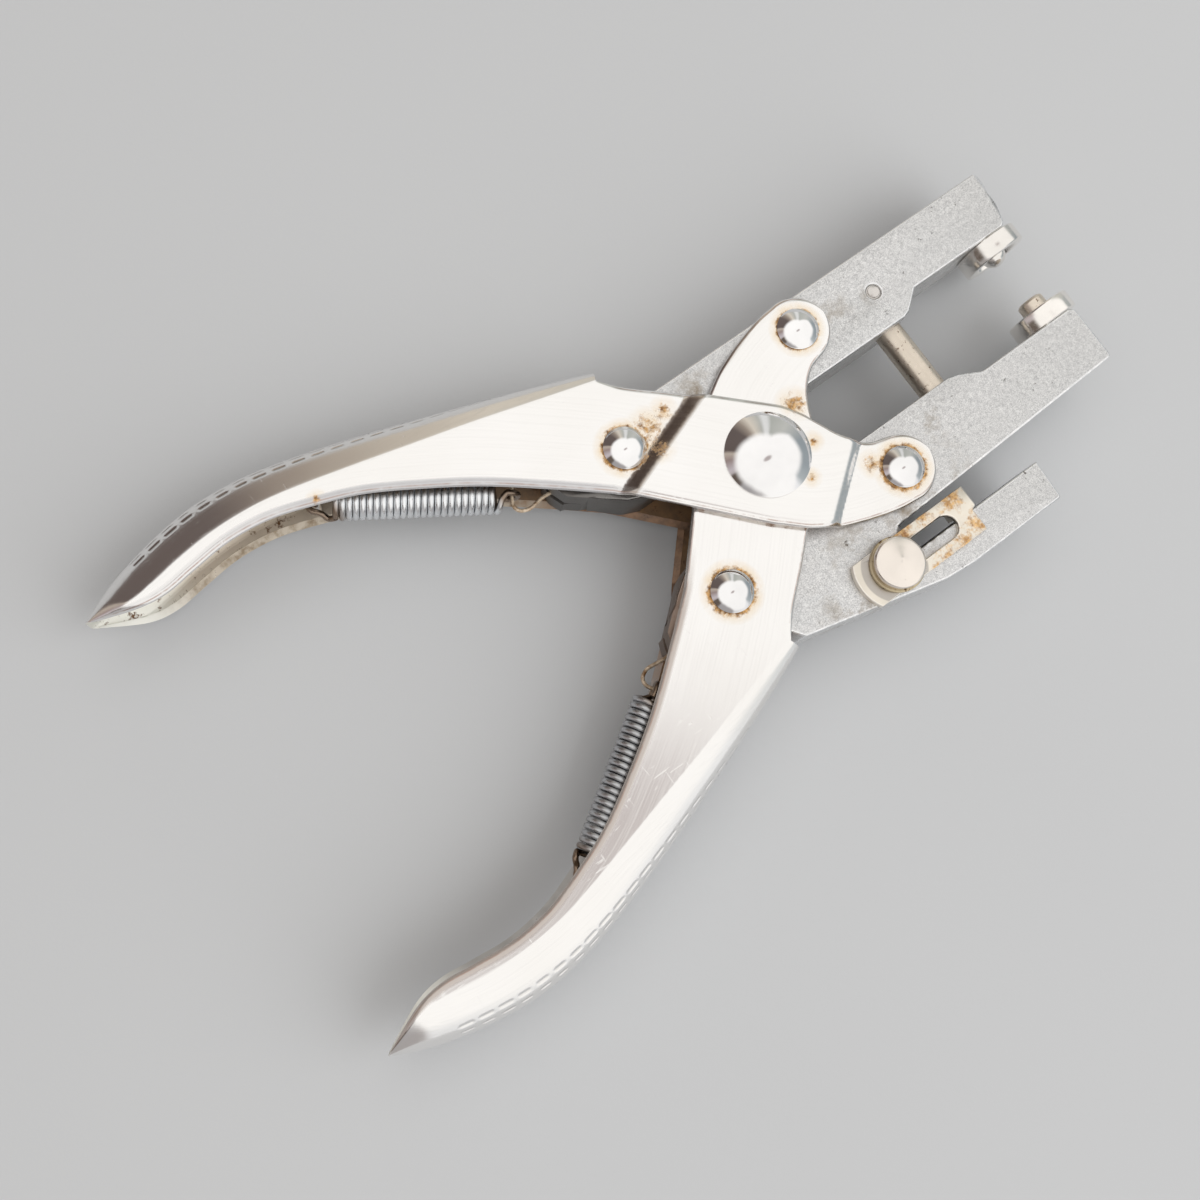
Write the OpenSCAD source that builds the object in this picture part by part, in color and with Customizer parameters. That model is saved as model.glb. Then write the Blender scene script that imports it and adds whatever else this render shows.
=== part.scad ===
// Parallel-jaw eyelet pliers with a built-in hole punch, lying on their side.
// X runs along the jaws, Y is the way the jaws close, Z is up from the table.
// Everything is drawn about the mid-plane of the tool and then lifted to the table.

/* [Linkage] */
// Distance from the centre pivot to each of the four jaw pins
pin_reach = 22.8; // [21.5:0.1:24]
// Half angle between the two rows of pins with the tool open
open_angle = 38.5; // [35:0.5:42]
// Half of the angle that the handles close through
close_angle = 15.8; // [12:0.1:16]
// Free play between flat faces that slide on each other
side_play = 0.1; // [0.05:0.01:0.15]
// Radial clearance of every pin in its hole
pin_play = 0.05; // [0.03:0.01:0.08]

/* [Handles] */
// Thickness of the pressed sheet
sheet_t = 1.5; // [1.2:0.1:1.8]
// Radius of the eye at the front end of each handle
eye_r = 5.7; // [5:0.1:6.5]
// Width of the sloping step that lifts one plate over the other
step_w = 1.8; // [1.4:0.1:2.4]
// Distance from the centre pivot to the step before the rear pin
rear_step = 13.8; // [13.6:0.1:14]
// Distance from the centre pivot to the step before the front eye
front_step = 12.3; // [12:0.1:13.5]
// Half height of the rounded back, where its shoulders begin
back_half = 2.1; // [1.6:0.1:3]

/* [Jaws] */
// Thickness of both jaws
jaw_t = 10; // [9:0.25:11]
// Distance from the centre pivot to the tips of the jaws
jaw_reach = 62.4; // [58:0.2:66]
// Height of the outer edge of the upper jaw
upper_top = 19.5; // [18.5:0.1:21]
// Height of the upper jaw's edge beside its die
upper_face = 9.1; // [8.8:0.1:9.5]
// Height of the upper jaw's edge behind the step
upper_rear = 6.0; // [5.9:0.1:6.6]
// Depth of the lower jaw's edge beside its die
lower_face = 8.9; // [8.6:0.1:9.3]
// Depth of the lower jaw's edge behind the step
lower_rear = 6.5; // [6.2:0.1:7]
// Depth of the lower jaw's outer edge at its tip
lower_tip = 19.6; // [18.5:0.1:20.2]
// Depth of the top of the paper slot at its closed end
slot_top = 21.3; // [21:0.1:21.6]
// Depth of the punching arm's inner edge
arm_top = 26.3; // [26:0.1:27]
// Depth of the punching arm's outer edge
arm_bottom = 33.4; // [32.5:0.1:35]
// Distance from the centre pivot to the closed end of the paper slot
slot_end = 11.8; // [11:0.1:12.5]
// Distance from the centre pivot to the end of the punching arm
arm_reach = 38; // [37.5:0.25:42]
// Width of the bevel across each jaw tip
tip_bevel = 1.3; // [0.8:0.1:1.8]

/* [Pins] */
// Radius of the centre rivet's shank
centre_r = 2.2; // [1.8:0.1:2.4]
// Outer radius of the sleeve that keeps the plates apart
sleeve_r = 3.2; // [2.8:0.1:3.3]
// Radius of the centre rivet's domed head
centre_dome_r = 7.1; // [6.4:0.1:7.4]
// Height of the centre rivet's domed head
centre_dome_h = 2.7; // [2.2:0.1:3.4]
// Radius of the flat head that the tool rests on
rest_head_r = 6.2; // [5:0.1:7]
// Thickness of the flat head that the tool rests on
rest_head_t = 1.5; // [1.2:0.1:2.5]
// Radius of the front rivets' shanks
front_r = 2; // [1.6:0.1:2.4]
// Radius of the rear rivets' shanks
rear_r = 1.6; // [1.3:0.1:1.8]
// Outer radius of the bushes that run in the jaw slots
bush_r = 2.5; // [2.2:0.1:2.6]
// Radius of the small domed rivet heads
dome_r = 3.5; // [3:0.1:3.6]
// Height of the small domed rivet heads
dome_h = 1.5; // [1.2:0.1:2]
// Radius of the low rivet heads on the far side
low_head_r = 3; // [2.6:0.1:3.4]
// Thickness of the low rivet heads on the far side
low_head_t = 0.9; // [0.6:0.1:1.2]

/* [Dies] */
// Distance from the tips of the jaws back to the axis of the dies
die_inset = 4.3; // [3.6:0.1:6]
// Radius of both die rings
die_r = 5.7; // [5:0.1:6]
// Height of the upper die ring
upper_die_h = 3.3; // [3:0.1:3.4]
// Height of the lower die ring
lower_die_h = 3.3; // [3:0.1:3.4]
// Radius of the setting nipple in the upper die
nipple_r = 2.2; // [1.9:0.1:2.4]
// Height of the nipple beyond the rim of its ring
nipple_proud = 1.3; // [1:0.1:1.5]
// Radius of the post that locates an eyelet
post_r = 2.35; // [2:0.05:2.4]
// Height of the post above its ring
post_proud = 2.3; // [2:0.1:2.4]
// Distance that the post is pressed down as the tool closes
post_travel = 3.4; // [3.3:0.1:3.6]
// Radius of the stems that hold the dies in the jaws
stem_r = 3.1; // [2.9:0.1:3.3]

/* [Punch] */
// Distance from the centre pivot to the axis of the punch
punch_x = 33.6; // [32.6:0.1:34.2]
// Radius of the punch rod
punch_r = 2.45; // [2:0.05:2.6]
// Radius of the pin that holds the punch in the upper jaw
cross_pin_r = 1.2; // [0.9:0.1:1.3]

/* [Stop] */
// Length of the stop plate behind its turned-down front
stop_len = 24.2; // [22:0.1:25]
// Width of the stop plate
stop_w = 8.1; // [7.6:0.1:8.6]
// Thickness of the stop plate
stop_t = 1; // [0.8:0.1:1.2]
// Width of the slot in the stop plate
stop_slot_w = 4; // [3.8:0.1:4.4]
// Distance that the stop can be set back
stop_travel = 10.4; // [8:0.1:10.6]
// Radius of the locking knob
knob_r = 4.1; // [3.8:0.1:4.6]
// Thickness of the locking knob
knob_t = 2.9; // [2:0.1:4]
// Radius of the washer under the knob
washer_r = 4.6; // [4.2:0.1:5]
// Radius of the crown on top of the knob
crown_r = 9.5; // [8:0.5:14]
// Thickness of the washer under the knob
washer_t = 0.8; // [0.5:0.1:1]

/* [Springs] */
// Outer radius of the return springs
spring_r = 3; // [2.6:0.1:3.1]
// Thickness of the return springs' wire
spring_wire = 0.84; // [0.7:0.02:0.9]
// Distance from a spring's anchor pin to its first curl
coil_room = 2.87; // [2.6:0.05:3.4]
// Number of curls in each return spring
spring_curls = 18; // [12:1:19]
// Radius of the pins that anchor the springs in the handles
anchor_pin_r = 0.8; // [0.6:0.05:0.9]
// Radius of the pins that the spring hooks pull on
tail_pin_r = 0.6; // [0.5:0.05:0.7]
// Thickness of the hooks' wire
hook_wire = 0.64; // [0.5:0.02:0.7]
// Slack of each hook round its pin, which takes up the swing of the spring
hook_slack = 0.55; // [0.52:0.01:0.6]

/* [Hidden] */
$fn = 64;

nickel = [0.86, 0.86, 0.84];
jaw_grey = [0.62, 0.63, 0.63];
steel = [0.72, 0.72, 0.7];
brown_steel = [0.5, 0.45, 0.4];
brassy = [0.82, 0.74, 0.56];
spring_grey = [0.6, 0.66, 0.7];

// Heights of the plates above the mid-plane: low plates touch the jaws, raised ones pass over
low_z = jaw_t / 2 + side_play;
rise = sheet_t + side_play;
raised_z = low_z + rise;
web_z = low_z + sheet_t;
top_z = raised_z + sheet_t;
rest_z = top_z + pin_play + rest_head_t;

// Pins at the open position; row a belongs to handle a, row b is its mirror image
front_a = [pin_reach * cos(open_angle), -pin_reach * sin(open_angle)];
rear_a = [-front_a[0], -front_a[1]];
closed_angle = open_angle - close_angle;
slide_travel = 2 * pin_reach * (cos(closed_angle) - cos(open_angle));

function flip(p) = [p[0], -p[1]];
function lerp(a, b, t) = a + (b - a) * t;
function arc(c, r, from, to, n) = [for (i = [0:n]) c + r * [cos(from + (to - from) * i / n), sin(from + (to - from) * i / n)]];
// A smooth curve through its points, n steps to each span
function curve_at(a, b, c, d, t) = 0.5 * (2 * b + (c - a) * t + (2 * a - 5 * b + 4 * c - d) * t * t
    + (3 * b - a - 3 * c + d) * t * t * t);
function smooth(p, n) = let (last = len(p) - 1) concat(
    [for (i = [0:last - 1], k = [0:n - 1]) curve_at(p[max(i - 1, 0)], p[i], p[i + 1], p[min(i + 2, last)], k / n)],
    [p[last]]);

// Grip of handle a: its back, its open edge and the width of the bevel between web and back
back_line = [[-14, 27.6], [-23, 31.3], [-33, 35], [-43, 38.5], [-53, 41.7], [-62, 44.2], [-70, 45.8],
    [-78, 46.2], [-85, 45.3], [-91.5, 43.7], [-96.5, 41.9], [-100.9, 39.6]];
edge_line = [[-23.5, 9.2], [-31, 15.3], [-39.5, 21.8], [-47.5, 26.9], [-55.5, 31.4], [-62.5, 34.1],
    [-69.5, 36.2], [-76.5, 36.8], [-83, 36.1], [-88.5, 35.4], [-93.4, 36.1], [-99.4, 39]];
bevel_line = [2, 3.3, 4.3, 5.3, 6, 6.5, 6.8, 7, 6.8, 6.4, 5.2, 1.2];
// Half height of the grip as a share of the web's, falling away at the tip
height_line = [1, 1, 1, 1, 1, 1, 1, 1, 1, 0.96, 0.72, 0.3];
grip_steps = 3;
// The grip's sheet starts this much inside the flat plates, so that no two faces lie in one plane
blend_step = 0.02;
back_curve = smooth(back_line, grip_steps);
edge_curve = smooth(edge_line, grip_steps);
bevel_curve = smooth(bevel_line, grip_steps);
height_curve = smooth(height_line, grip_steps);

// One ring of the grip: offsets from the back towards the open edge, with heights
function half_ring(depth, bevel, half, back, inset) = let (wide = max(bevel + inset * 0.4, inset + 0.9)) [
    [max(depth, wide + 0.3), half - inset],
    [wide, half - inset],
    [lerp(inset, wide, 0.5), max(lerp(back, half, 0.72) - inset * 0.8, 0.45)],
    [lerp(inset, wide, 0.18), max(back - inset * 0.6, 0.3)],
    [inset, max(back * 0.4 - inset * 0.2, 0.15)]];
function whole_ring(h) = concat(h, [for (i = [len(h) - 1:-1:0]) [h[i][0], -h[i][1]]]);
function at(v, k) = lerp(v[floor(k)], v[min(floor(k) + 1, len(v) - 1)], k - floor(k));
function place_ring(k, h) = let (b = at(back_curve, k), e = at(edge_curve, k), d = (e - b) / norm(e - b))
    [for (q = h) [b[0] + d[0] * q[0], b[1] + d[1] * q[0], q[1]]];
function grip_half(k) = (web_z - blend_step) * at(height_curve, k);
function grip_back(k) = min(back_half + max(0, 2.6 - k * 0.4), grip_half(k) * 0.7);
function grip_depth(k) = norm(at(edge_curve, k) - at(back_curve, k));
function outer_ring(k) = place_ring(k, whole_ring(half_ring(grip_depth(k), at(bevel_curve, k), grip_half(k),
    grip_back(k), 0)));
function inner_ring(k) = place_ring(k, whole_ring(half_ring(grip_depth(k) + 3, at(bevel_curve, k),
    max(grip_half(k), sheet_t + 0.4), grip_back(k), sheet_t - 2 * blend_step)));
last_ring = len(back_curve) - 1;

// Step forward that carries the hollow of the grip out through its front end
mouth_dir = (edge_line[0] - back_line[0]) / norm(edge_line[0] - back_line[0]);
mouth = 2 * [-mouth_dir[1], mouth_dir[0], 0];

// A closed body from rings that all have the same number of points
module loft(rings) {
    m = len(rings[0]);
    n = len(rings);
    points = [for (r = rings) each r];
    sides = [for (i = [0:n - 2], j = [0:m - 1]) each [
        [(i + 1) * m + (j + 1) % m, i * m + (j + 1) % m, i * m + j],
        [(i + 1) * m + j, (i + 1) * m + (j + 1) % m, i * m + j]]];
    first = [for (j = [0:m - 1]) j];
    last = [for (j = [m - 1:-1:0]) (n - 1) * m + j];
    polyhedron(points, concat(sides, [first], [last]));
}

// Outline of a handle's flat plate, from the grip round the centre pivot to the front eye
crease_start = back_line[0] + bevel_line[0] * (edge_line[0] - back_line[0]) / norm(edge_line[0] - back_line[0]);
plate_top = [crease_start, [-13.3, 24], [-9.5, 20.4], [-5, 16.7], [-1.2, 13.2], [5.9, 6.6]];
plate_neck = [[5.9, 6.6], [8.1, 4], [9.9, 0.7], [11.4, -2.6], front_a + [-4.3, 8.5], front_a + [-1.6, 6.4],
    front_a + eye_r * [cos(78), sin(78)]];
plate_under = [front_a + eye_r * [cos(-102), sin(-102)], front_a + [-5.2, -5.0], [7.6, -17.8], [3.2, -16.1],
    [-0.4, -14.1], [-3, -12.1], [-6.4, -9]];
plate_root = [edge_line[0], edge_line[0] + [-2.2, 4.6], crease_start + [-5, -1.6]];
plate_outline = concat(plate_top, smooth(plate_neck, 4), arc(front_a, eye_r, 70, -94, 16), smooth(plate_under, 4),
    plate_root);

// Height profile of a plate that is raised near the centre pivot and steps down away from it
module stepped_sheet(angle, start) {
    end = start + step_w;
    rotate([0, 0, angle])
        translate([0, 60, 0])
            rotate([90, 0, 0])
                linear_extrude(120)
                    polygon([[-30, raised_z], [start, raised_z], [end, low_z], [90, low_z],
                        [90, web_z], [end, web_z], [start, top_z], [-30, top_z]]);
}

rear_step_angle = 109.5;
front_step_angle = -52.6;

// The part of the plate behind the centre pivot, or the part in front of it
module plate_half(side) {
    linear_extrude(top_z + 1)
        intersection() {
            polygon(plate_outline);
            rotate(rear_step_angle)
                translate([side > 0 ? 0 : -90, -90])
                    square([90, 180]);
        }
}

module raised_plate() {
    intersection() {
        stepped_sheet(rear_step_angle, rear_step);
        plate_half(1);
    }
    intersection() {
        stepped_sheet(front_step_angle, front_step);
        plate_half(-1);
    }
}

module low_plate() {
    translate([0, 0, -web_z])
        linear_extrude(sheet_t)
            polygon(plate_outline);
}

module hole(at, r) {
    translate([at[0], at[1], -rest_z])
        cylinder(h = 2 * rest_z, r = r);
}

module handle_form() {
    difference() {
        union() {
            raised_plate();
            low_plate();
            difference() {
                loft([for (k = [0:last_ring]) outer_ring(k)]);
                loft(concat([[for (q = inner_ring(0)) q + mouth]], [for (k = [0.5:last_ring - 0.5]) inner_ring(k)]));
            }
        }
        hole([0, 0], centre_r + pin_play);
        hole(front_a, front_r + pin_play);
        hole(rear_a, rear_r + pin_play);
        hole(anchor_a, anchor_pin_r + pin_play);
    }
}

// Springs: each runs from a pin in the grip to a wire hook on the tail of the jaw inside it
anchor_a = [-61.8, 35.9];
coil_front = [-37.8, 20.65];
slot_end_a = [rear_a[0] - slide_travel - 0.2, rear_a[1]];
tail_pin_a = slot_end_a + 4.75 * [cos(138.6), sin(138.6)];
spring_line = (coil_front - anchor_a) / norm(coil_front - anchor_a);
spring_side = [-spring_line[1], spring_line[0]];
spring_mid_r = spring_r - spring_wire / 2;
coil_stop = norm(coil_front - anchor_a);
coil_start = coil_room;
spring_pitch = (coil_stop - coil_start) / spring_curls;
function on_spring(along, side, z) = [anchor_a[0] + spring_line[0] * along + spring_side[0] * side,
    anchor_a[1] + spring_line[1] * along + spring_side[1] * side, z];
curl_steps = 8;
coil_path = [for (i = [0:spring_curls * curl_steps]) on_spring(coil_start + spring_pitch * i / curl_steps,
    -spring_mid_r * cos(360 * i / curl_steps), spring_mid_r * sin(360 * i / curl_steps))];
anchor_bend_r = anchor_pin_r + spring_wire / 2 + 0.2;
rear_path = concat(
    [for (i = [0:7]) on_spring(anchor_bend_r * cos(60 + i * 30), anchor_bend_r * sin(60 + i * 30), 0)],
    [on_spring(0.9, -anchor_bend_r - 0.4, 0), on_spring(coil_start - 1.1, -spring_mid_r * 0.93, -0.7)]);

// The coil's last wire turns up into an open eye that stands square to the coil
eye_r_mid = 2.1;
eye_at = coil_stop + 1.35;
front_path = concat(
    [on_spring(coil_stop + 0.35, -spring_mid_r * 0.82, 1.05), on_spring(coil_stop + 0.75, -spring_mid_r * 0.4, 1.75)],
    [for (a = [84:-27:-80]) on_spring(eye_at + eye_r_mid * cos(a), 0, eye_r_mid * sin(a))],
    [on_spring(eye_at + eye_r_mid * cos(-78) - spring_wire, 0, eye_r_mid * sin(-78) - 0.15)]);
spring_path = concat(rear_path, coil_path, front_path);

// The hook: a bent wire from the spring's eye to the pin in the jaw's tail
hook_bend_r = tail_pin_r + hook_wire / 2 + hook_slack;
tail_along = (tail_pin_a - anchor_a) * spring_line;
tail_side = (tail_pin_a - anchor_a) * spring_side;
eye_inside = eye_at + eye_r_mid - spring_wire / 2 - hook_wire / 2 - 0.2;
hook_path = concat(
    [on_spring(eye_inside + 0.1, 1.7, 0), on_spring(eye_inside, 1, 0), on_spring(eye_inside - 0.05, -0.9, 0),
     on_spring(eye_inside + 0.25, -1.9, 0), on_spring(eye_inside + 1, -2.5, 0), on_spring(eye_inside + 2, -2.5, 0),
     on_spring(eye_inside + 3, -2.1, 0), on_spring(eye_inside + 5.2, -0.3, 0)],
    [for (a = [-50:26:132]) on_spring(tail_along + hook_bend_r * cos(a), tail_side + hook_bend_r * sin(a), 0)],
    [on_spring(tail_along + hook_bend_r * cos(132) - hook_wire * 0.74, tail_side + hook_bend_r * sin(132) - hook_wire * 0.67, 0)]);

// A round wire along a path, as rings of six points carried square to it
function unit(v) = v / norm(v);
function tangent(p, i) = unit(p[min(i + 1, len(p) - 1)] - p[max(i - 1, 0)]);
function frames(p, i = 0, n = [0, 0, 1], made = []) = i >= len(p) ? made :
    let (t = tangent(p, i), s = unit(n - t * (n * t))) frames(p, i + 1, s, concat(made, [[s, cross(t, s)]]));
module wire(path, r) {
    f = frames(path);
    loft([for (i = [0:len(path) - 1]) [for (a = [0:5]) path[i] + r * (f[i][0] * cos(a * 60) + f[i][1] * sin(a * 60))]]);
}

// Least gap between any two stretches of one spring that aren't neighbours along the wire
spring_apart = min([for (i = [0:len(spring_path) - 1], k = [i + 5:len(spring_path) - 1])
    norm(spring_path[k] - spring_path[i])]) - spring_wire;
echo(str("least gap of a return spring to itself: ", spring_apart, " mm"));

// Jaws
die_x = jaw_reach - die_inset;
tail_end = tail_pin_a[0] - 2.5;
clevis_x = slot_end_a[0] - bush_r - pin_play - 0.25;
clevis_gap = hook_wire + 1.2;
throat_depth = 18.1;
step_x = die_x - throat_depth;
tail_round = arc([slot_end_a[0] + 0.2, rear_a[1]], 5.5, -98, -170, 6);

upper_outline = concat(
    [[tail_end + 1.6, upper_top], [jaw_reach - 1.5, upper_top]],
    arc([jaw_reach - 0.5, upper_top - 1], 1, 90, 10, 3),
    arc([jaw_reach - 3, upper_face + 1.5], 1.5, -10, -90, 5),
    [[step_x, upper_face], [step_x - 3.4, upper_rear + 0.35], [step_x - 4.6, upper_rear], [-19, upper_rear],
     [-22, 7.3]], tail_round, [[tail_end, 15.6], [tail_end, upper_top - 1.6]]);
lower_outline = concat(
    [[tail_end, -upper_top + 1.6], [tail_end, -15.6]], [for (i = [len(tail_round) - 1:-1:0]) flip(tail_round[i])],
    [[-22, -7.5], [-20, -lower_rear],
     [step_x - 5.2, -lower_rear], [step_x - 3.2, -lower_rear - 0.6], [step_x + 0.4, -lower_face]],
    arc([jaw_reach - 2.6, -lower_face - 1.2], 1.2, 90, 10, 4),
    arc([jaw_reach - 2.2, -lower_tip + 0.8], 0.8, -10, -90, 3),
    [[slot_end, -slot_top], [slot_end, -arm_top], [arm_reach, -arm_top]],
    arc([arm_reach - 0.9, -arm_bottom + 0.6], 0.6, 0, -90, 3),
    [[18.5, -arm_bottom], [13, -arm_bottom + 0.5], [-4.6, -arm_bottom + 4.8], [-12, -arm_bottom + 6.6],
     [-13.6, -24.6], [-24, -upper_top], [tail_end + 1.6, -upper_top]]);

// Room for the sleeve of the centre pivot as the jaw slides over it
module sleeve_relief() {
    for (t = [0:0.25:1]) {
        a = lerp(open_angle, closed_angle, t);
        translate([pin_reach * (cos(open_angle) - cos(a)), pin_reach * (sin(open_angle) - sin(a))])
            circle(r = sleeve_r + 0.4);
    }
}

// The slot in a jaw's tail that the rear bush slides along
module tail_slot_2d() {
    r = bush_r + pin_play;
    translate(slot_end_a)
        circle(r = r);
    translate([rear_a[0] + 0.2, rear_a[1]])
        circle(r = r);
    translate(slot_end_a - [0, r])
        square([slide_travel + 0.4, 2 * r]);
}

// The gap in the end of a tail where the spring's hook swings and shifts on its pin
hook_shift = [0.12, 0.48];
module tail_gap() {
    hook_reach = hook_bend_r + hook_wire / 2;
    translate([tail_end - 1, 0, -clevis_gap / 2])
        cube([clevis_x - tail_end + 1, upper_top + 1, clevis_gap]);
    translate([tail_pin_a[0], tail_pin_a[1], -clevis_gap / 2])
        cylinder(h = clevis_gap, r = hook_reach + 0.31);
    translate([tail_pin_a[0] + hook_shift[0], tail_pin_a[1] + hook_shift[1], -clevis_gap / 2])
        cylinder(h = clevis_gap, r = hook_reach + 0.41);
}

// Two slanting cuts that bevel the end of a jaw on its near and far sides
module tip_cuts(y) {
    for (s = [-1, 1])
        translate([jaw_reach + 0.45, y, s * jaw_t / 2])
            rotate([0, s * 45, 0])
                cube([tip_bevel * sqrt(2), 40, tip_bevel * sqrt(2)], center = true);
}

module jaw_blank(outline) {
    translate([0, 0, -jaw_t / 2])
        linear_extrude(jaw_t)
            polygon(outline);
}

module die_socket(y, sign, depth) {
    translate([die_x, y, 0])
        rotate([-90 * sign, 0, 0])
            translate([0, 0, -0.1])
                cylinder(h = depth + 0.1, r = stem_r + pin_play);
}

die_seat = 5;

module upper_jaw() {
    color(jaw_grey)
        difference() {
            jaw_blank(upper_outline);
            translate([0, 0, -jaw_t])
                linear_extrude(2 * jaw_t) {
                    sleeve_relief();
                    tail_slot_2d();
                }
            hole(flip(front_a), front_r + pin_play);
            hole(tail_pin_a, tail_pin_r + pin_play);
            tail_gap();
            tip_cuts(upper_top - 5);
            die_socket(upper_face, 1, die_seat);
            translate([punch_x, 0, 0])
                rotate([-90, 0, 0])
                    cylinder(h = punch_head_y, r = punch_r + pin_play);
            translate([punch_x, cross_pin_y, 0])
                cylinder(h = 2 * jaw_t, r = cross_pin_r + pin_play, center = true);
        }
}

module lower_jaw() {
    color(jaw_grey)
        difference() {
            jaw_blank(lower_outline);
            translate([0, 0, -jaw_t])
                linear_extrude(2 * jaw_t)
                    mirror([0, 1]) {
                        sleeve_relief();
                        tail_slot_2d();
                    }
            hole(front_a, front_r + pin_play);
            hole(flip(tail_pin_a), tail_pin_r + pin_play);
            mirror([0, 1, 0])
                tail_gap();
            tip_cuts(-lower_tip + 5);
            die_socket(-lower_face, -1, die_seat);
            translate([die_x, -lower_face, 0])
                rotate([90, 0, 0])
                    cylinder(h = post_bore_end - lower_face, r = post_foot_r + pin_play);
            translate([punch_x, 0, 0])
                rotate([90, 0, 0])
                    cylinder(h = arm_bottom + 1, r = punch_r + pin_play);
            translate([screw_at[0], screw_at[1], jaw_t / 2 - screw_depth])
                cylinder(h = screw_depth + 1, r = screw_r + pin_play);
        }
}

// Rivets and bushes
module dome(r, h) {
    ball = (r * r + h * h) / (2 * h);
    rim = 0.35;
    translate([0, 0, 0])
        cylinder(h = rim, r = r);
    translate([0, 0, rim])
        intersection() {
            translate([0, 0, h - ball])
                sphere(r = ball, $fn = 96);
            cylinder(h = h + 1, r = r);
        }
}

module small_rivet(at, r) {
    color(steel)
        translate([at[0], at[1], 0]) {
            translate([0, 0, -web_z - pin_play])
                cylinder(h = 2 * (web_z + pin_play), r = r);
            translate([0, 0, web_z + pin_play])
                dome(dome_r, dome_h);
            translate([0, 0, -web_z - pin_play - low_head_t])
                cylinder(h = low_head_t, r = low_head_r);
        }
}

module front_rivet_a() {
    small_rivet(front_a, front_r);
}

module front_rivet_b() {
    small_rivet(flip(front_a), front_r);
}

module rear_rivet_a() {
    small_rivet(rear_a, rear_r);
}

module rear_rivet_b() {
    small_rivet(flip(rear_a), rear_r);
}

module centre_rivet() {
    color(steel) {
        translate([0, 0, -top_z - pin_play])
            cylinder(h = 2 * (top_z + pin_play), r = centre_r);
        translate([0, 0, top_z + pin_play])
            dome(centre_dome_r, centre_dome_h);
        translate([0, 0, -rest_z])
            cylinder(h = rest_head_t, r = rest_head_r);
    }
}

module tube(h, outer, inner) {
    difference() {
        cylinder(h = h, r = outer, center = true);
        cylinder(h = h + 1, r = inner, center = true);
    }
}

module centre_sleeve() {
    color(steel)
        tube(2 * low_z - side_play, sleeve_r, centre_r + pin_play);
}

module slide_bush_a() {
    color(steel)
        translate([rear_a[0], rear_a[1], 0])
            tube(2 * low_z - side_play, bush_r, rear_r + pin_play);
}

module slide_bush_b() {
    color(steel)
        translate([rear_a[0], -rear_a[1], 0])
            tube(2 * low_z - side_play, bush_r, rear_r + pin_play);
}

// Dies: both are turned, with the profile drawn from the jaw's face outwards
module turned_at(y, sign) {
    translate([die_x, y, 0])
        rotate([90 * sign, 0, 0])
            rotate_extrude($fn = 72)
                children();
}

module upper_die() {
    top = upper_die_h + nipple_proud;
    color(steel)
        turned_at(upper_face, 1)
            polygon(concat([[0, -die_seat + 0.2], [stem_r, -die_seat + 0.2], [stem_r, 0], [die_r, 0],
                [die_r, upper_die_h - 0.3], [die_r - 0.3, upper_die_h], [nipple_r + 1.9, upper_die_h],
                [nipple_r + 1.5, upper_die_h - 0.9], [nipple_r + 0.3, upper_die_h - 0.9]],
                arc([0, top - nipple_r], nipple_r, 0, 78, 6), [[0, top]]));
}

post_foot_r = post_r + 0.5;

module lower_die() {
    color(steel)
        turned_at(-lower_face, -1)
            polygon([[post_r + pin_play, -die_seat + 0.9], [stem_r, -die_seat + 0.9], [stem_r, 0], [die_r, 0],
                [die_r, lower_die_h - 0.3], [die_r - 0.3, lower_die_h], [post_r + 1.7, lower_die_h],
                [post_r + 1.3, lower_die_h - 0.7], [post_r + pin_play, lower_die_h - 0.7]]);
}

post_foot_y = lower_face + die_seat - 0.9 + 0.1;
post_foot_t = 1;
post_wire = 0.4;
post_bore_end = post_foot_y + post_foot_t + post_travel + post_wire + 0.1;

module locating_post() {
    color(steel)
        turned_at(-lower_face, -1)
            polygon([[0, -(post_foot_y - lower_face) - post_foot_t], [post_foot_r, -(post_foot_y - lower_face) - post_foot_t],
                [post_foot_r, -(post_foot_y - lower_face)], [post_r, -(post_foot_y - lower_face)],
                [post_r, lower_die_h + post_proud - 0.4], [post_r - 0.4, lower_die_h + post_proud], [0, lower_die_h + post_proud]]);
}

// The post's spring, in the bore below its foot: a cone whose curls lie inside each other when pressed flat
post_spring_curls = 3;
post_spring_r = post_foot_r - post_wire / 2 - 0.1;
module post_spring() {
    first = post_foot_y + post_foot_t + post_wire / 2 + 0.05;
    drop = (post_bore_end - first - post_wire / 2 - 0.05) / post_spring_curls;
    steps = post_spring_curls * curl_steps;
    path = [for (i = [0:steps]) let (r = post_spring_r - (post_wire + 0.1) * (steps - i) / curl_steps)
        [die_x + r * cos(360 * i / curl_steps), -first - drop * i / curl_steps, r * sin(360 * i / curl_steps)]];
    color(spring_grey)
        wire(path, post_wire / 2);
}

// Punch: held in the upper jaw by a cross pin, guided through the lower jaw into the arm
cross_pin_y = 12.5;
punch_head_y = 16;
punch_foot_y = 20.2;

module punch_rod() {
    color(brown_steel)
        difference() {
            translate([punch_x, -punch_foot_y, 0])
                rotate([-90, 0, 0])
                    cylinder(h = punch_foot_y + punch_head_y - 0.1, r = punch_r);
            translate([punch_x, cross_pin_y, 0])
                cylinder(h = 20, r = cross_pin_r + pin_play, center = true);
        }
}

module punch_cross_pin() {
    color(steel)
        translate([punch_x, cross_pin_y, 0])
            cylinder(h = jaw_t + 0.2, r = cross_pin_r, center = true);
}

// Paper stop: a slotted plate on the near face of the lower jaw, locked by a knob
screw_at = [6.9, -26.2];
screw_r = 1.85;
screw_depth = 7;
stop_z = jaw_t / 2 + 0.05;
stop_front = stop_len;

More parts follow.
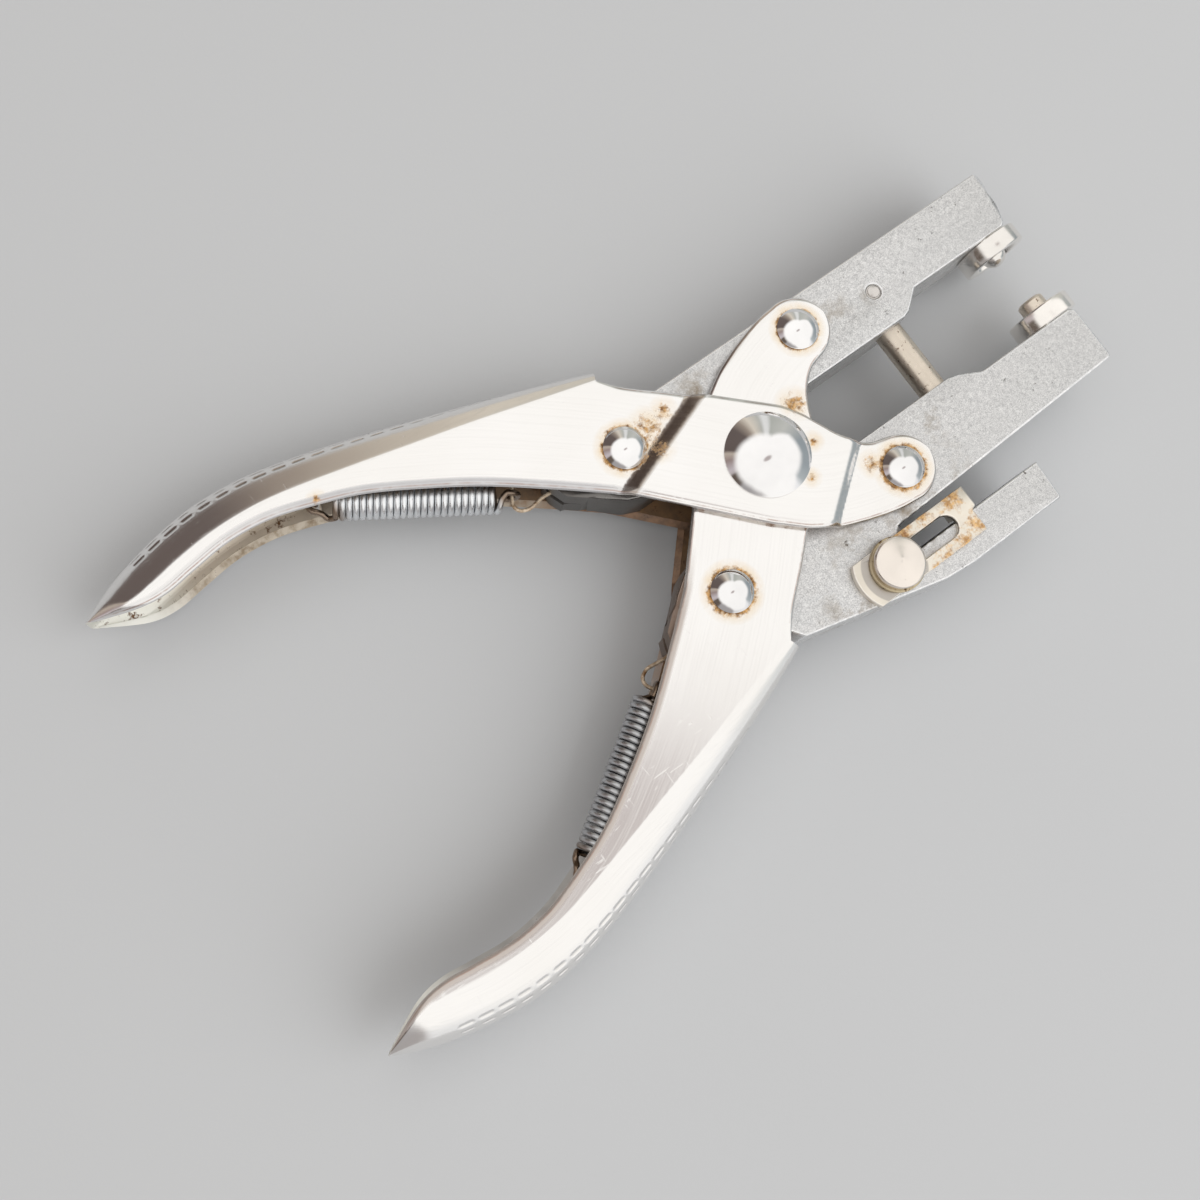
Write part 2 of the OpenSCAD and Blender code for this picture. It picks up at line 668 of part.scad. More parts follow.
module stop_plate() {
    half = stop_w / 2;
    sr = stop_slot_w / 2;
    rear_r = stop_w * 0.94;
    rear_c = [screw_at[0] + 0.3, screw_at[1]];
    lip_t = 1.1;
    color(brassy) {
        translate([0, 0, stop_z])
            linear_extrude(stop_t)
                difference() {
                    polygon(concat([[stop_front - 0.9, screw_at[1] - half], [stop_front - 0.9, -arm_top],
                        [stop_front, -arm_top + 0.25], [stop_front, screw_at[1] + half]],
                        arc(rear_c, rear_r, 148, 212, 8)));
                    translate(screw_at - [0.2, 0])
                        circle(r = sr);
                    translate(screw_at + [stop_travel + 0.4, 0])
                        circle(r = sr);
                    translate(screw_at - [0.2, sr])
                        square([stop_travel + 0.6, 2 * sr]);
                }
        translate([stop_front - lip_t, -arm_top + 0.25, -jaw_t / 2 + 0.8])
            cube([lip_t, arm_top - 0.25 + screw_at[1] + half, jaw_t - 0.8 + stop_t]);
    }
}

module knob_washer() {
    color(brassy)
        translate([screw_at[0], screw_at[1], stop_z + stop_t + 0.05 + washer_t / 2])
            tube(washer_t, washer_r, screw_r + pin_play);
}

module stop_knob() {
    crown_t = knob_t * 0.38;
    z = stop_z + stop_t + washer_t + 0.1;
    color(nickel)
        translate([screw_at[0], screw_at[1], 0]) {
            translate([0, 0, jaw_t / 2 - screw_depth + 0.3])
                cylinder(h = z - jaw_t / 2 + screw_depth, r = screw_r);
            translate([0, 0, z])
                cylinder(h = knob_t - crown_t, r = knob_r);
            translate([0, 0, z + knob_t - crown_t])
                intersection() {
                    cylinder(h = crown_t, r = knob_r);
                    translate([0, 0, crown_t - crown_r])
                        sphere(r = crown_r, $fn = 96);
                }
        }
}

module cross_pin(at, r, half) {
    color(steel)
        translate([at[0], at[1], 0])
            cylinder(h = 2 * half, r = r, center = true);
}

module spring_anchor_a() {
    cross_pin(anchor_a, anchor_pin_r, web_z);
}

module spring_anchor_b() {
    cross_pin(flip(anchor_a), anchor_pin_r, web_z);
}

module tail_pin_upper() {
    cross_pin(tail_pin_a, tail_pin_r, jaw_t / 2);
}

module tail_pin_lower() {
    cross_pin(flip(tail_pin_a), tail_pin_r, jaw_t / 2);
}

module return_spring_a() {
    color(spring_grey)
        wire(spring_path, spring_wire / 2);
}

module spring_hook_a() {
    color(spring_grey)
        wire(hook_path, hook_wire / 2);
}

// The second handle and its spring are the first ones turned over
module turned_over() {
    rotate([180, 0, 0])
        children();
}

module return_spring_b() {
    turned_over()
        return_spring_a();
}

module spring_hook_b() {
    turned_over()
        spring_hook_a();
}

module handle_a() {
    color(nickel)
        handle_form();
}

module handle_b() {
    color(nickel)
        turned_over()
            handle_form();
}

translate([0, 0, rest_z]) {
    handle_a();
    handle_b();
    centre_rivet();
    centre_sleeve();
    front_rivet_a();
    front_rivet_b();
    rear_rivet_a();
    rear_rivet_b();
    slide_bush_a();
    slide_bush_b();
    upper_jaw();
    lower_jaw();
    upper_die();
    lower_die();
    locating_post();
    post_spring();
    punch_rod();
    punch_cross_pin();
    stop_plate();
    stop_knob();
    knob_washer();
    return_spring_a();
    return_spring_b();
    spring_hook_a();
    spring_hook_b();
    spring_anchor_a();
    spring_anchor_b();
    tail_pin_upper();
    tail_pin_lower();
}
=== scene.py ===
import math

import bmesh
import bpy
import numpy as np
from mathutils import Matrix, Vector


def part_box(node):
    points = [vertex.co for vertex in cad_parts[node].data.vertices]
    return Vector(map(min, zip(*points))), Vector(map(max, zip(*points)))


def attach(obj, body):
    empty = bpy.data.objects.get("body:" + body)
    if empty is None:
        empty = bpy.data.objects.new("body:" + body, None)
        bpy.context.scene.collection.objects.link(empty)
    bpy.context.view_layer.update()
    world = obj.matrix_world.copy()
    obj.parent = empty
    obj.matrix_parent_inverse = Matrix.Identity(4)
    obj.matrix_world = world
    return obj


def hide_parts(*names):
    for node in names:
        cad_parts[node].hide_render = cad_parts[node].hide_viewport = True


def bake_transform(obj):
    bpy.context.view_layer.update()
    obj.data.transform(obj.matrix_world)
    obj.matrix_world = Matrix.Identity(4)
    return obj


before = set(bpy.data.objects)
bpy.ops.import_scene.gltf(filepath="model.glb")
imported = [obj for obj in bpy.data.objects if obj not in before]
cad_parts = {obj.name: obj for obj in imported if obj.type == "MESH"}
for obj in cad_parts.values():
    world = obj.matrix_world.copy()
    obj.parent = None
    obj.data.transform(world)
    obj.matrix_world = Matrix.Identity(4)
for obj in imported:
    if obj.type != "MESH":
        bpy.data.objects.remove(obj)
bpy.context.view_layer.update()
mm = 0.001
pinLow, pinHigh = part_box("punch_cross_pin")
midPlane = (pinLow[2] + pinHigh[2]) / 2 / mm  # the tool lies on its side, this high above the table, in mm
print("frame loaded, mid-plane at", round(midPlane, 2), "mm")


# Places that several pieces share, in mm from the centre rivet's axis

pinX, pinY = 17.84, 14.19  # the four small rivets, all 22.8 from the centre
anchorX, anchorY = -61.8, 35.9  # the spring's pin in handle a's grip; handle b's is its mirror image
tailX, tailY = -27.987, 17.335  # the pin in the upper jaw's tail; the lower jaw's is its mirror image
knobAt = (6.9, -26.2)
punchX = 33.6
dieX = 58.1


# Small tools for meshes; all shapes are worked out in mm about the mid-plane

def smoothLine(points, steps):
    # Catmull-Rom curve, all spans at once, where t runs from 0 to 1 on each:
    # half of (2b + (c-a)t + (2a-5b+4c-d)t^2 + (3b-a-3c+d)t^3)
    p = np.asarray(points, float)
    p = p.reshape(len(p), -1)
    q = np.concatenate([p[:1], p, p[-1:]])
    a, b, c, d = q[:-3, None], q[1:-2, None], q[2:-1, None], q[3:, None]
    t = (np.arange(steps) / steps)[None, :, None]
    curve = 2 * b + (c - a) * t + (2 * a - 5 * b + 4 * c - d) * t ** 2 + (3 * b - a - 3 * c + d) * t ** 3
    return np.concatenate([0.5 * curve.reshape(-1, p.shape[1]), p[-1:]])


def lengthsAlong(line):
    # running length at each point: the sum of the distances between neighbours so far
    return np.concatenate([[0], np.cumsum(np.linalg.norm(np.diff(line, axis=0), axis=1))])


def evenRows(lines, run, gap):
    # rows about gap apart along the running length, each column read off between its two nearest points
    stations = np.linspace(0, run[-1], int(run[-1] / gap))
    return stations, np.stack([np.interp(stations, run, column) for column in lines.T], 1)


def joined(*grids):
    # all numbers of the grids, one grid after the other
    return np.concatenate([grid.ravel() for grid in grids])


def gridQuads(rows, cols, start=0, wrap=False):
    # quad (i,j) joins rows i, i+1 and columns j, j+1; wrap joins the last column to the first
    i = np.arange(rows - 1)[:, None]
    j = np.arange(cols if wrap else cols - 1)[None, :]
    k = (j + 1) % cols
    quads = np.stack([i * cols + j, i * cols + k, (i + 1) * cols + k, (i + 1) * cols + j], -1)
    return quads.reshape(-1, 4) + start


def placed(name, mesh, materials):
    # the mesh as an object of the scene, with its materials
    for material in materials:
        mesh.materials.append(material)
    piece = bpy.data.objects.new(name, mesh)
    bpy.context.collection.objects.link(piece)
    return piece


def meshPiece(name, points, quads, materials, weld=0.002, marks=None, sharp=None):
    # points in mm about the mid-plane; weld merges what lies closer than this, in mm;
    # marks are numbers kept on the points; corners over sharp degrees are shaded as edges
    points = np.asarray(points, float).reshape(-1, 3) * mm
    points[:, 2] += midPlane * mm
    quads = np.ascontiguousarray(quads)
    mesh = bpy.data.meshes.new(name)
    mesh.vertices.add(len(points))
    mesh.vertices.foreach_set("co", points.ravel())
    mesh.loops.add(quads.size)
    mesh.loops.foreach_set("vertex_index", quads.ravel())
    mesh.polygons.add(len(quads))
    mesh.polygons.foreach_set("loop_start", np.arange(len(quads)) * 4)
    mesh.update(calc_edges=True)
    for mark, values in (marks or {}).items():
        kind, field = ("FLOAT_VECTOR", "vector") if values.ndim == 2 else ("FLOAT", "value")
        layer = mesh.attributes.new(mark, kind, "POINT")
        layer.data.foreach_set(field, np.ascontiguousarray(values, np.float32).ravel())
    bm = bmesh.new()
    bm.from_mesh(mesh)
    bmesh.ops.remove_doubles(bm, verts=bm.verts, dist=weld * mm)
    bm.to_mesh(mesh)
    bm.free()
    mesh.polygons.foreach_set("use_smooth", np.ones(len(mesh.polygons), bool))
    if sharp:
        mesh.set_sharp_from_angle(angle=math.radians(sharp))
    return placed(name, mesh, materials)


def bevelled(piece, sizes):
    # rounds the edges whose faces meet at more than the angle in degrees; the width is in mm
    cut = piece.modifiers.new("bevel", "BEVEL")
    cut.width = sizes["width"] * mm
    cut.segments = sizes["segments"]
    cut.limit_method = "ANGLE"
    cut.angle_limit = math.radians(sizes["angle"])
    cut.harden_normals = True
    return cut


def bevelChosen(piece, sizes, chosen):
    # rounds only those sharp edges whose middle, in mm, chosen() says yes to, in the piece's second material;
    # the others stay crisp
    cut = bevelled(piece, sizes)
    cut.limit_method = "WEIGHT"
    cut.material = 1
    cut.use_clamp_overlap = False
    bm = bmesh.new()
    bm.from_mesh(piece.data)
    weight = bm.edges.layers.float.new("bevel_weight_edge")
    for edge in bm.edges:
        if len(edge.link_faces) == 2 and edge.calc_face_angle() > math.radians(sizes["angle"]):
            yes = chosen((edge.verts[0].co + edge.verts[1].co) / 2 / mm)
            edge[weight] = float(yes)
            edge.smooth = yes
    bm.to_mesh(piece.data)
    bm.free()


def cadCopy(node, name, materials):
    # a copy of a CAD node with its loose triangles merged and its flat faces joined up
    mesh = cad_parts[node].data.copy()
    mesh.name = name
    mesh.materials.clear()
    bm = bmesh.new()
    bm.from_mesh(mesh)
    bmesh.ops.remove_doubles(bm, verts=bm.verts, dist=1e-6)
    bmesh.ops.dissolve_limit(bm, angle_limit=math.radians(1.0), verts=bm.verts, edges=bm.edges)
    bm.to_mesh(mesh)
    bm.free()
    mesh.polygons.foreach_set("use_smooth", np.ones(len(mesh.polygons), bool))
    mesh.polygons.foreach_set("material_index", np.zeros(len(mesh.polygons), np.int32))
    return placed(name, mesh, materials)


def turnedPiece(name, profile, centre, axis, material, sides=96, sharp=32):
    # a lathe turning: profile rows are (radius, height along the axis), carried round the axis full circle
    profile = np.asarray(profile, float)
    angle = np.linspace(0, 2 * np.pi, sides, endpoint=False)
    w = np.asarray(axis, float)
    u = np.array([1.0, 0, 0]) if abs(w[0]) < 0.5 else np.array([0, 0, 1.0])
    v = np.cross(w, u)
    ring = np.cos(angle)[:, None] * u + np.sin(angle)[:, None] * v
    points = np.asarray(centre, float) + profile[:, None, :1] * ring[None] + profile[:, None, 1:] * w
    return meshPiece(name, points, gridQuads(len(profile), sides, wrap=True), [material], sharp=sharp)


def wirePiece(name, path, radius, side, material, sides=12):
    # a round wire: circles square to the path, carried along it; two smaller rings, 0.25 and 0.35 radius
    # further out, close each end. side is a direction that is never along the path, one for each point
    path = np.asarray(path, float)
    t = np.gradient(path, axis=0)
    t /= np.linalg.norm(t, axis=1, keepdims=True)
    side = np.broadcast_to(np.asarray(side, float), path.shape)
    n = side - (side * t).sum(1, keepdims=True) * t
    n /= np.linalg.norm(n, axis=1, keepdims=True)
    b = np.cross(t, n)
    out = radius * np.array([[0.25], [0.35]])
    path = np.concatenate([path[:1] - t[:1] * out[::-1], path, path[-1:] + t[-1:] * out])
    n, b = (np.concatenate([v[:1], v[:1], v, v[-1:], v[-1:]]) for v in (n, b))
    size = np.full(len(path), float(radius))
    size[[1, -2]] *= 0.72
    size[[0, -1]] = 0
    angle = np.linspace(0, 2 * np.pi, sides, endpoint=False)[None, :, None]
    circles = np.cos(angle) * n[:, None] + np.sin(angle) * b[:, None]
    points = path[:, None] + size[:, None, None] * circles
    return meshPiece(name, points, gridQuads(len(path), sides, wrap=True), [material])


def carried(piece, body, node):
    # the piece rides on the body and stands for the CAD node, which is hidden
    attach(piece, body)
    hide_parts(node)


# Camera: place in metres, turn in degrees, lens in mm on a 36 mm sensor

photoView = {"at": (-0.08342, -0.02279, 0.2372), "turn": (11.2364, -6.8781, -36.6352), "lens": 43.908}
camera = bpy.data.objects.new("photoCamera", bpy.data.cameras.new("photoCamera"))
bpy.context.collection.objects.link(camera)
camera.location = photoView["at"]
camera.rotation_euler = [math.radians(a) for a in photoView["turn"]]
camera.data.lens = photoView["lens"]
camera.data.sensor_width = 36
camera.data.clip_start = 0.005
bpy.context.scene.camera = camera
bpy.context.scene.view_settings.view_transform = "Standard"


# Small tools for materials and the world

class Recipe:
    # short calls for the nodes of one material or world, so that each reads as a list of steps
    def __init__(self, owner, coordinates):
        owner.use_nodes = True
        self.owner = owner
        self.tree = owner.node_tree
        self.coordinates = self.tree.nodes.new("ShaderNodeTexCoord").outputs[coordinates]

    def node(self, kind, setting=None, **inputs):
        # setting is one (property, value) of the node; _0, _1 and so on are inputs by their number
        made = self.tree.nodes.new("ShaderNode" + kind)
        if setting:
            setattr(made, *setting)
        for key, value in inputs.items():
            self.feed(made.inputs[int(key[1:]) if key[0] == "_" else key.replace("_", " ")], value)
        return made

    def feed(self, socket, value):
        # links another node's output, or sets a number, a vector or a colour
        if isinstance(value, bpy.types.NodeSocket):
            self.tree.links.new(value, socket)
        else:
            socket.default_value = (*value, 1.0) if socket.type == "RGBA" else value

    def math(self, kind, first, *others):
        # the operation on the first two values, then on that result and each further value
        for other in others or (0.0,):
            first = self.node("Math", ("operation", kind), _0=first, _1=other).outputs[0]
        return first

    def times(self, *values):
        return self.math("MULTIPLY", *values)

    def plus(self, *values):
        return self.math("ADD", *values)

    def most(self, *values):
        return self.math("MAXIMUM", *values)

    def vector(self, kind, a, b, output="Vector"):
        return self.node("VectorMath", ("operation", kind), _0=a, _1=b).outputs[output]

    def scaled(self, scale):
        return self.node("Mapping", Vector=self.coordinates, Scale=scale).outputs["Vector"]

    def noise(self, scale, detail=3.0, rough=0.55, vector=None, distortion=0.0):
        return self.node("TexNoise", Vector=vector or self.coordinates, Scale=scale, Detail=detail,
                         Roughness=rough, Distortion=distortion).outputs["Fac"]

    def range(self, value, low, high, toLow=0.0, toHigh=1.0, kind="LINEAR"):
        # low to high of the value becomes toLow to toHigh, and stays there beyond
        return self.node("MapRange", ("interpolation_type", kind), Value=value, From_Min=low, From_Max=high,
                         To_Min=toLow, To_Max=toHigh).outputs["Result"]

    def mix(self, share, a, b):
        # colour a where the share is 0, b where it is 1
        return self.node("Mix", ("data_type", "RGBA"), _0=share, _6=a, _7=b).outputs[2]

    def bump(self, height, distance, strength):
        return self.node("Bump", Height=height, Distance=distance, Strength=strength).outputs["Normal"]

    def mark(self, name, output="Fac"):
        # what meshPiece kept on the points: one number, or three with output Vector
        return self.node("Attribute", ("attribute_name", name)).outputs[output]

    def place(self):
        return self.node("SeparateXYZ", Vector=self.coordinates).outputs

    def farFrom(self, x, y):
        # distance in plan from a place in mm
        flat = self.vector("MULTIPLY", self.coordinates, (1, 1, 0))
        return self.vector("DISTANCE", flat, (x * mm, y * mm, 0), "Value")

    def nearSpots(self, spots):
        # 1 close to a spot, fading to 0 at its outer radius; each is (x, y, inner radius, outer radius) in mm
        return self.most(*(self.range(self.farFrom(x, y), inner * mm, outer * mm, 1.0, 0.0)
                           for x, y, inner, outer in spots))

    def finish(self, **inputs):
        # sets the surface shader's own sockets and gives the material
        surface = self.tree.nodes["Principled BSDF"]
        for key, value in inputs.items():
            self.feed(surface.inputs[key.replace("_", " ")], value)
        return self.owner


def newFinish(name):
    # a new material whose patterns are fixed to the piece
    return Recipe(bpy.data.materials.new(name), "Object")


# Finishes; rust, oil and dirt stand at spots given as (x, y, inner radius, outer radius) in mm

handleRust = [(-pinX, pinY, 3.6, 4.25), (-pinX, -pinY, 3.7, 4.5), (pinX, -pinY, 3.7, 4.5),
              (pinX, pinY, 3.5, 4.0), (-12.6, 14.8, 0.4, 3.0), (-13.6, 11.0, 0.3, 2.2),
              (-8.9, 15.6, 0.2, 1.8), (9.4, 4.4, 0.6, 2.6), (13.9, -10.8, 0.3, 1.8),
              (-62.0, 34.6, 0.2, 1.0), (7.6, -2.4, 0.2, 1.1), (3.6, -7.0, 0.2, 1.0)]


def rustMask(s, spots, amount, scale=900):
    # rust where a patchy noise rises above a line that falls toward each spot
    near = s.nearSpots(spots)
    level = s.math("SUBTRACT", s.plus(s.noise(scale, 6, 0.72), s.times(near, 0.24)), amount + 0.16)
    return s.times(s.range(level, -0.05, 0.13), s.range(near, 0.0, 0.35))


def nickelFinish():
    # bright plating, clouded and brushed, with stains and rust round the rivets and dirt on edges and dashes
    s = newFinish("nickelPlate")
    x, y, z = s.place()
    onA = s.range(y, -0.004, 0.004)
    cloud = s.noise(28, 3, 0.6)
    patchy = s.noise(240, 5, 0.7)
    brush = s.noise(1.0, 3, 0.6, s.vector("MULTIPLY", s.mark("flow", "Vector"), (0.035, 3.2, 3.2)))
    scratch = s.noise(1.0, 2, 0.5, s.scaled((260, 2600, 260)), 0.4)
    scratchTwo = s.noise(1.0, 2, 0.5, s.scaled((2200, 240, 300)), 0.6)
    lines = s.most(s.range(scratch, 0.68, 0.74), s.range(scratchTwo, 0.69, 0.75))
    rust = rustMask(s, handleRust, 0.47)
    stain = s.times(s.nearSpots([(spotX, spotY, a, b + 1.0) for spotX, spotY, a, b in handleRust]),
                    s.range(s.noise(420, 4, 0.65), 0.3, 0.6, 0.25, 1.0))
    tinted = s.mix(s.range(cloud, 0.35, 0.7), (0.92, 0.91, 0.90), (0.88, 0.865, 0.845))
    tinted = s.mix(s.times(stain, 0.75), tinted, (0.80, 0.61, 0.36))
    tinted = s.mix(s.range(brush, 0.45, 0.66, 0.0, 0.045), tinted, (0.60, 0.57, 0.54))
    # along the cut edges: a thin brown line, and on the grips a broader lip, a painted reflection of dark
    # surroundings, brown on b and blue-grey on a
    edge = s.mark("edge")
    grip = s.range(x, -0.018, -0.026)
    paintedLipB = s.times(s.range(edge, 1.5, 1.0), grip, s.math("SUBTRACT", 1.0, onA))
    onGripA = s.times(onA, grip, s.range(x, -0.082, -0.062, 0.35, 1.0))
    paintedLipA = s.times(s.range(edge, 1.5, 1.15), onGripA, s.range(patchy, 0.2, 0.5, 0.65, 0.95))
    line = s.times(s.range(edge, 0.30, 0.40), s.range(edge, 0.62, 0.50), s.range(patchy, 0.36, 0.56))
    # painted reflection: the rolled lips are coloured darker
    tinted = s.mix(s.times(paintedLipB, 0.9), tinted, (0.50, 0.44, 0.40))
    tinted = s.mix(paintedLipA, tinted, (0.55, 0.545, 0.555))
    tinted = s.mix(s.times(line, 0.6), tinted, (0.36, 0.22, 0.17))
    # the rear step, which faces 109.5 degrees in plan, away from the window lamp, is painted darker as shade
    facing = math.radians(109.5)
    slope = s.vector("DOT_PRODUCT", s.coordinates, (math.cos(facing), math.sin(facing), 0), "Value")
    paintedStepShade = s.times(s.range(slope, 0.0133, 0.0138), s.range(slope, 0.0158, 0.0154),
                    s.range(z, (midPlane + 6) * mm, (midPlane + 6.8) * mm), s.range(x, -0.026, -0.020))
    tinted = s.mix(s.times(paintedStepShade, s.range(patchy, 0.3, 0.6, 0.55, 0.8)), tinted, (0.24, 0.18, 0.13))
    dirt = s.times(s.range(s.mark("dash"), 0.25, 0.8), s.range(patchy, 0.3, 0.6, 0.2, 0.6))
    tinted = s.mix(s.times(dirt, s.range(onA, 0, 1, 0.35, 1.0)), tinted, (0.14, 0.11, 0.08))
    rusty = s.mix(s.range(s.noise(1100, 4, 0.7), 0.38, 0.62), (0.20, 0.095, 0.035), (0.72, 0.43, 0.17))
    rough = s.plus(s.range(cloud, 0.3, 0.75, 0.10, 0.18), s.times(lines, 0.10),
                   s.range(brush, 0.45, 0.75, 0.0, 0.10))
    metal = s.times(s.range(rust, 0.1, 0.8, 1.0, 0.25), s.range(s.most(paintedLipB, paintedLipA), 0, 1, 1.0, 0.45))
    relief = s.plus(s.times(lines, -0.5), s.times(rust, 1.6), s.times(brush, 0.55),
                    s.times(s.noise(900, 2, 0.5), 0.12))
    return s.finish(Base_Color=s.mix(rust, tinted, rusty), Metallic=metal,
                    Roughness=s.most(rough, s.times(rust, 0.75)), Normal=s.bump(relief, 0.00002, 0.35))


def platedEdgeFinish():
    # the cut edge of the near wall is painted bright on handle b, a painted highlight, and grey on handle a,
    # painted shade; the far wall's is as dull as the inside, and both are painted pale at the tip, a painted
    # highlight
    s = newFinish("nickelEdge")
    x, y, z = s.place()
    worn = s.noise(500, 4, 0.65)
    onA = s.range(y, -0.004, 0.004)
    nearWall = s.range(z, (midPlane - 1) * mm, (midPlane + 1) * mm)
    # painted highlight on handle b's near edge, painted shade on handle a's
    bright = s.mix(onA, (0.98, 0.93, 0.88), (0.62, 0.61, 0.61))
    bright = s.mix(s.range(worn, 0.50, 0.68), bright, (0.42, 0.25, 0.17))
    khaki = s.mix(s.range(worn, 0.45, 0.68), (0.52, 0.46, 0.38), (0.28, 0.21, 0.14))
    rusty = s.mix(s.range(worn, 0.35, 0.65), (0.12, 0.075, 0.05), (0.30, 0.18, 0.11))
    dull = s.mix(s.range(x, -0.026, -0.040), rusty, s.mix(onA, (0.40, 0.385, 0.37), khaki))
    # painted highlight: the tip is coloured pale
    colour = s.mix(s.range(x, -0.084, -0.092), s.mix(nearWall, dull, bright), (0.80, 0.79, 0.74))
    return s.finish(Base_Color=colour, Metallic=0.5, Roughness=s.range(worn, 0.3, 0.7, 0.24, 0.5),
                    Normal=s.bump(worn, 0.00003, 0.3))


def handleInsideFinish():
    # khaki and specked in the grips, rusty further in, painted pale at the tips, a painted highlight
    s = newFinish("nickelInside")
    x = s.place()[0]
    cloud = s.noise(60, 4, 0.6)
    specks = s.range(s.noise(700, 4, 0.75), 0.56, 0.66)
    grip = s.range(x, -0.030, -0.058)
    clean = s.mix(s.range(cloud, 0.35, 0.7), (0.66, 0.59, 0.50), (0.50, 0.43, 0.35))
    rusty = s.mix(s.range(s.noise(300, 5, 0.7), 0.35, 0.65), (0.16, 0.10, 0.06), (0.30, 0.17, 0.08))
    # painted highlight: the tip is coloured pale
    colour = s.mix(s.range(x, -0.084, -0.092), s.mix(grip, rusty, clean), (0.78, 0.77, 0.71))
    colour = s.mix(specks, colour, (0.13, 0.065, 0.03))
    return s.finish(Base_Color=colour, Metallic=s.range(grip, 0, 1, 0.15, 0.6),
                    Roughness=s.range(cloud, 0.3, 0.7, 0.35, 0.6), Normal=s.bump(specks, 0.00004, 0.5))


jawStainsAndShade = {
    "oil": [(22, -19, 2, 8), (14, -22, 2, 9), (4, -22, 2, 10), (-2, -27, 2, 8), (27, -10, 1, 5),
            (24, 14, 1, 6), (-2, 14, 2, 9), (punchX, 12.4, 0.8, 3)],
    # painted shade on the tails, which the handles cover, and on the arm under the stop plate
    "paintedShade": [(-23, 6, 7, 10), (-23, -6, 7, 10), (-27, 15, 6, 10), (-27, -15, 6, 10), (7, -22.4, 0.3, 1.3),
                *((x, -23.8, 2.7, 2.95) for x in (13, 15, 17, 19)), (21, -23.8, 2.6, 2.85),
                (23, -23.8, 2.4, 2.8)],
}


def jawFinish(name, worn=False):
    # sand-grained grey steel with pits, oil and painted shade, or with worn the bright metal of its rubbed
    # edges
    s = newFinish(name)
    x, y = s.place()[:2]
    coarse = s.noise(1150, 3, 0.6)
    grain = s.plus(s.times(s.noise(6200, 3, 0.85), 0.80), s.times(coarse, 0.20))
    cloud = s.noise(45, 3, 0.6)
    pits = s.range(s.noise(620, 5, 0.75), 0.645, 0.69)
    oil = s.times(s.nearSpots(jawStainsAndShade["oil"]), s.range(s.noise(190, 6, 0.7), 0.48, 0.68), 0.8)
    if worn:
        colour = s.mix(s.range(coarse, 0.3, 0.7), (0.95, 0.955, 0.96), (0.72, 0.73, 0.74))
        colour = s.mix(pits, colour, (0.16, 0.14, 0.12))
        rough, metal, strength = s.range(coarse, 0.3, 0.7, 0.16, 0.34), 1.0, 0.10
    else:
        colour = s.mix(s.range(grain, 0.38, 0.62), (0.38, 0.38, 0.385), (0.93, 0.925, 0.92))
        colour = s.mix(s.range(cloud, 0.35, 0.7, 0.0, 0.3), colour, (0.60, 0.60, 0.60))
        colour = s.mix(pits, colour, (0.12, 0.11, 0.10))
        rough, metal, strength = s.range(grain, 0.3, 0.7, 0.34, 0.50), 0.85, 0.38
    colour = s.mix(oil, colour, (0.22, 0.16, 0.09))
    # painted shade: dark grey on the covered tails and under the stop plate, rusty brown on the lower jaw's
    # tail
    lowerTail = s.times(s.range(y, 0.004, -0.004), s.range(x, -0.018, -0.020))
    shadeAndRust = s.mix(lowerTail, (0.12, 0.11, 0.10), (0.17, 0.10, 0.06))
    paintedShade = s.times(s.nearSpots(jawStainsAndShade["paintedShade"]), s.range(cloud, 0.3, 0.7, 0.8, 0.97))
    return s.finish(Base_Color=s.mix(paintedShade, colour, shadeAndRust), Metallic=metal, Roughness=rough,
                    Normal=s.bump(s.plus(grain, s.times(pits, -1.5)), 0.00005, strength))


def steelFinish(name, tone, rough, rustAmount=0.0, turned=None, rustyEndsAndShadeB=False):
    # bare metal with clouds and rust specks; turned is the place in mm of the axis that fine turning rings
    # run round, and the last flag rusts both ends of the return springs and paints handle b's darker as shade
    s = newFinish(name)
    fine = s.noise(1500, 3, 0.6)
    if turned:
        rings = s.math("SINE", s.times(s.farFrom(*turned), 7200))
        fine = s.plus(s.times(rings, 0.13), s.times(fine, 0.3))
    colour = s.mix(s.range(s.noise(90, 3, 0.6), 0.3, 0.7), tone, tuple(c * 0.86 for c in tone))
    roughness = s.range(fine, 0.3, 0.7, rough * 0.8, rough * 1.3)
    if rustAmount:
        specks = s.range(s.noise(800, 5, 0.75), 0.70 - 0.2 * rustAmount, 0.76 - 0.2 * rustAmount)
        colour = s.mix(specks, colour, (0.16, 0.085, 0.04))
        roughness = s.most(roughness, s.times(specks, 0.7))
    if rustyEndsAndShadeB:
        x, y = s.place()[:2]
        # painted shade: handle b's side is coloured darker
        colour = s.mix(s.range(y, 0.004, -0.004, 0.0, 0.65), colour, (0.34, 0.34, 0.35))
        ends = s.most(s.range(x, -0.0392, -0.0376), s.range(x, -0.0588, -0.0604))
        colour = s.mix(s.times(ends, 0.9), colour, (0.24, 0.16, 0.10))
    return s.finish(Base_Color=colour, Metallic=1.0, Roughness=roughness, Normal=s.bump(fine, 0.00001, 0.25))


stopStainsAndShadow = {
    "rust": [(21.0, -22.6, 0.8, 3.6), (22.6, -28.6, 0.6, 3.2), (11, -22.4, 0.6, 3.6), (15.5, -22.2, 0.6, 3.0),
             (18.6, -29.6, 0.4, 3.0), (15, -29.9, 0.4, 2.6), (12.5, -30.3, 0.2, 1.8)],
    # painted shadow of the knob and its washer: a grey ring round the washer
    "washerShadow": [(6.4, -26.4, 5.5, 5.7)],  # by the knob's washer
}


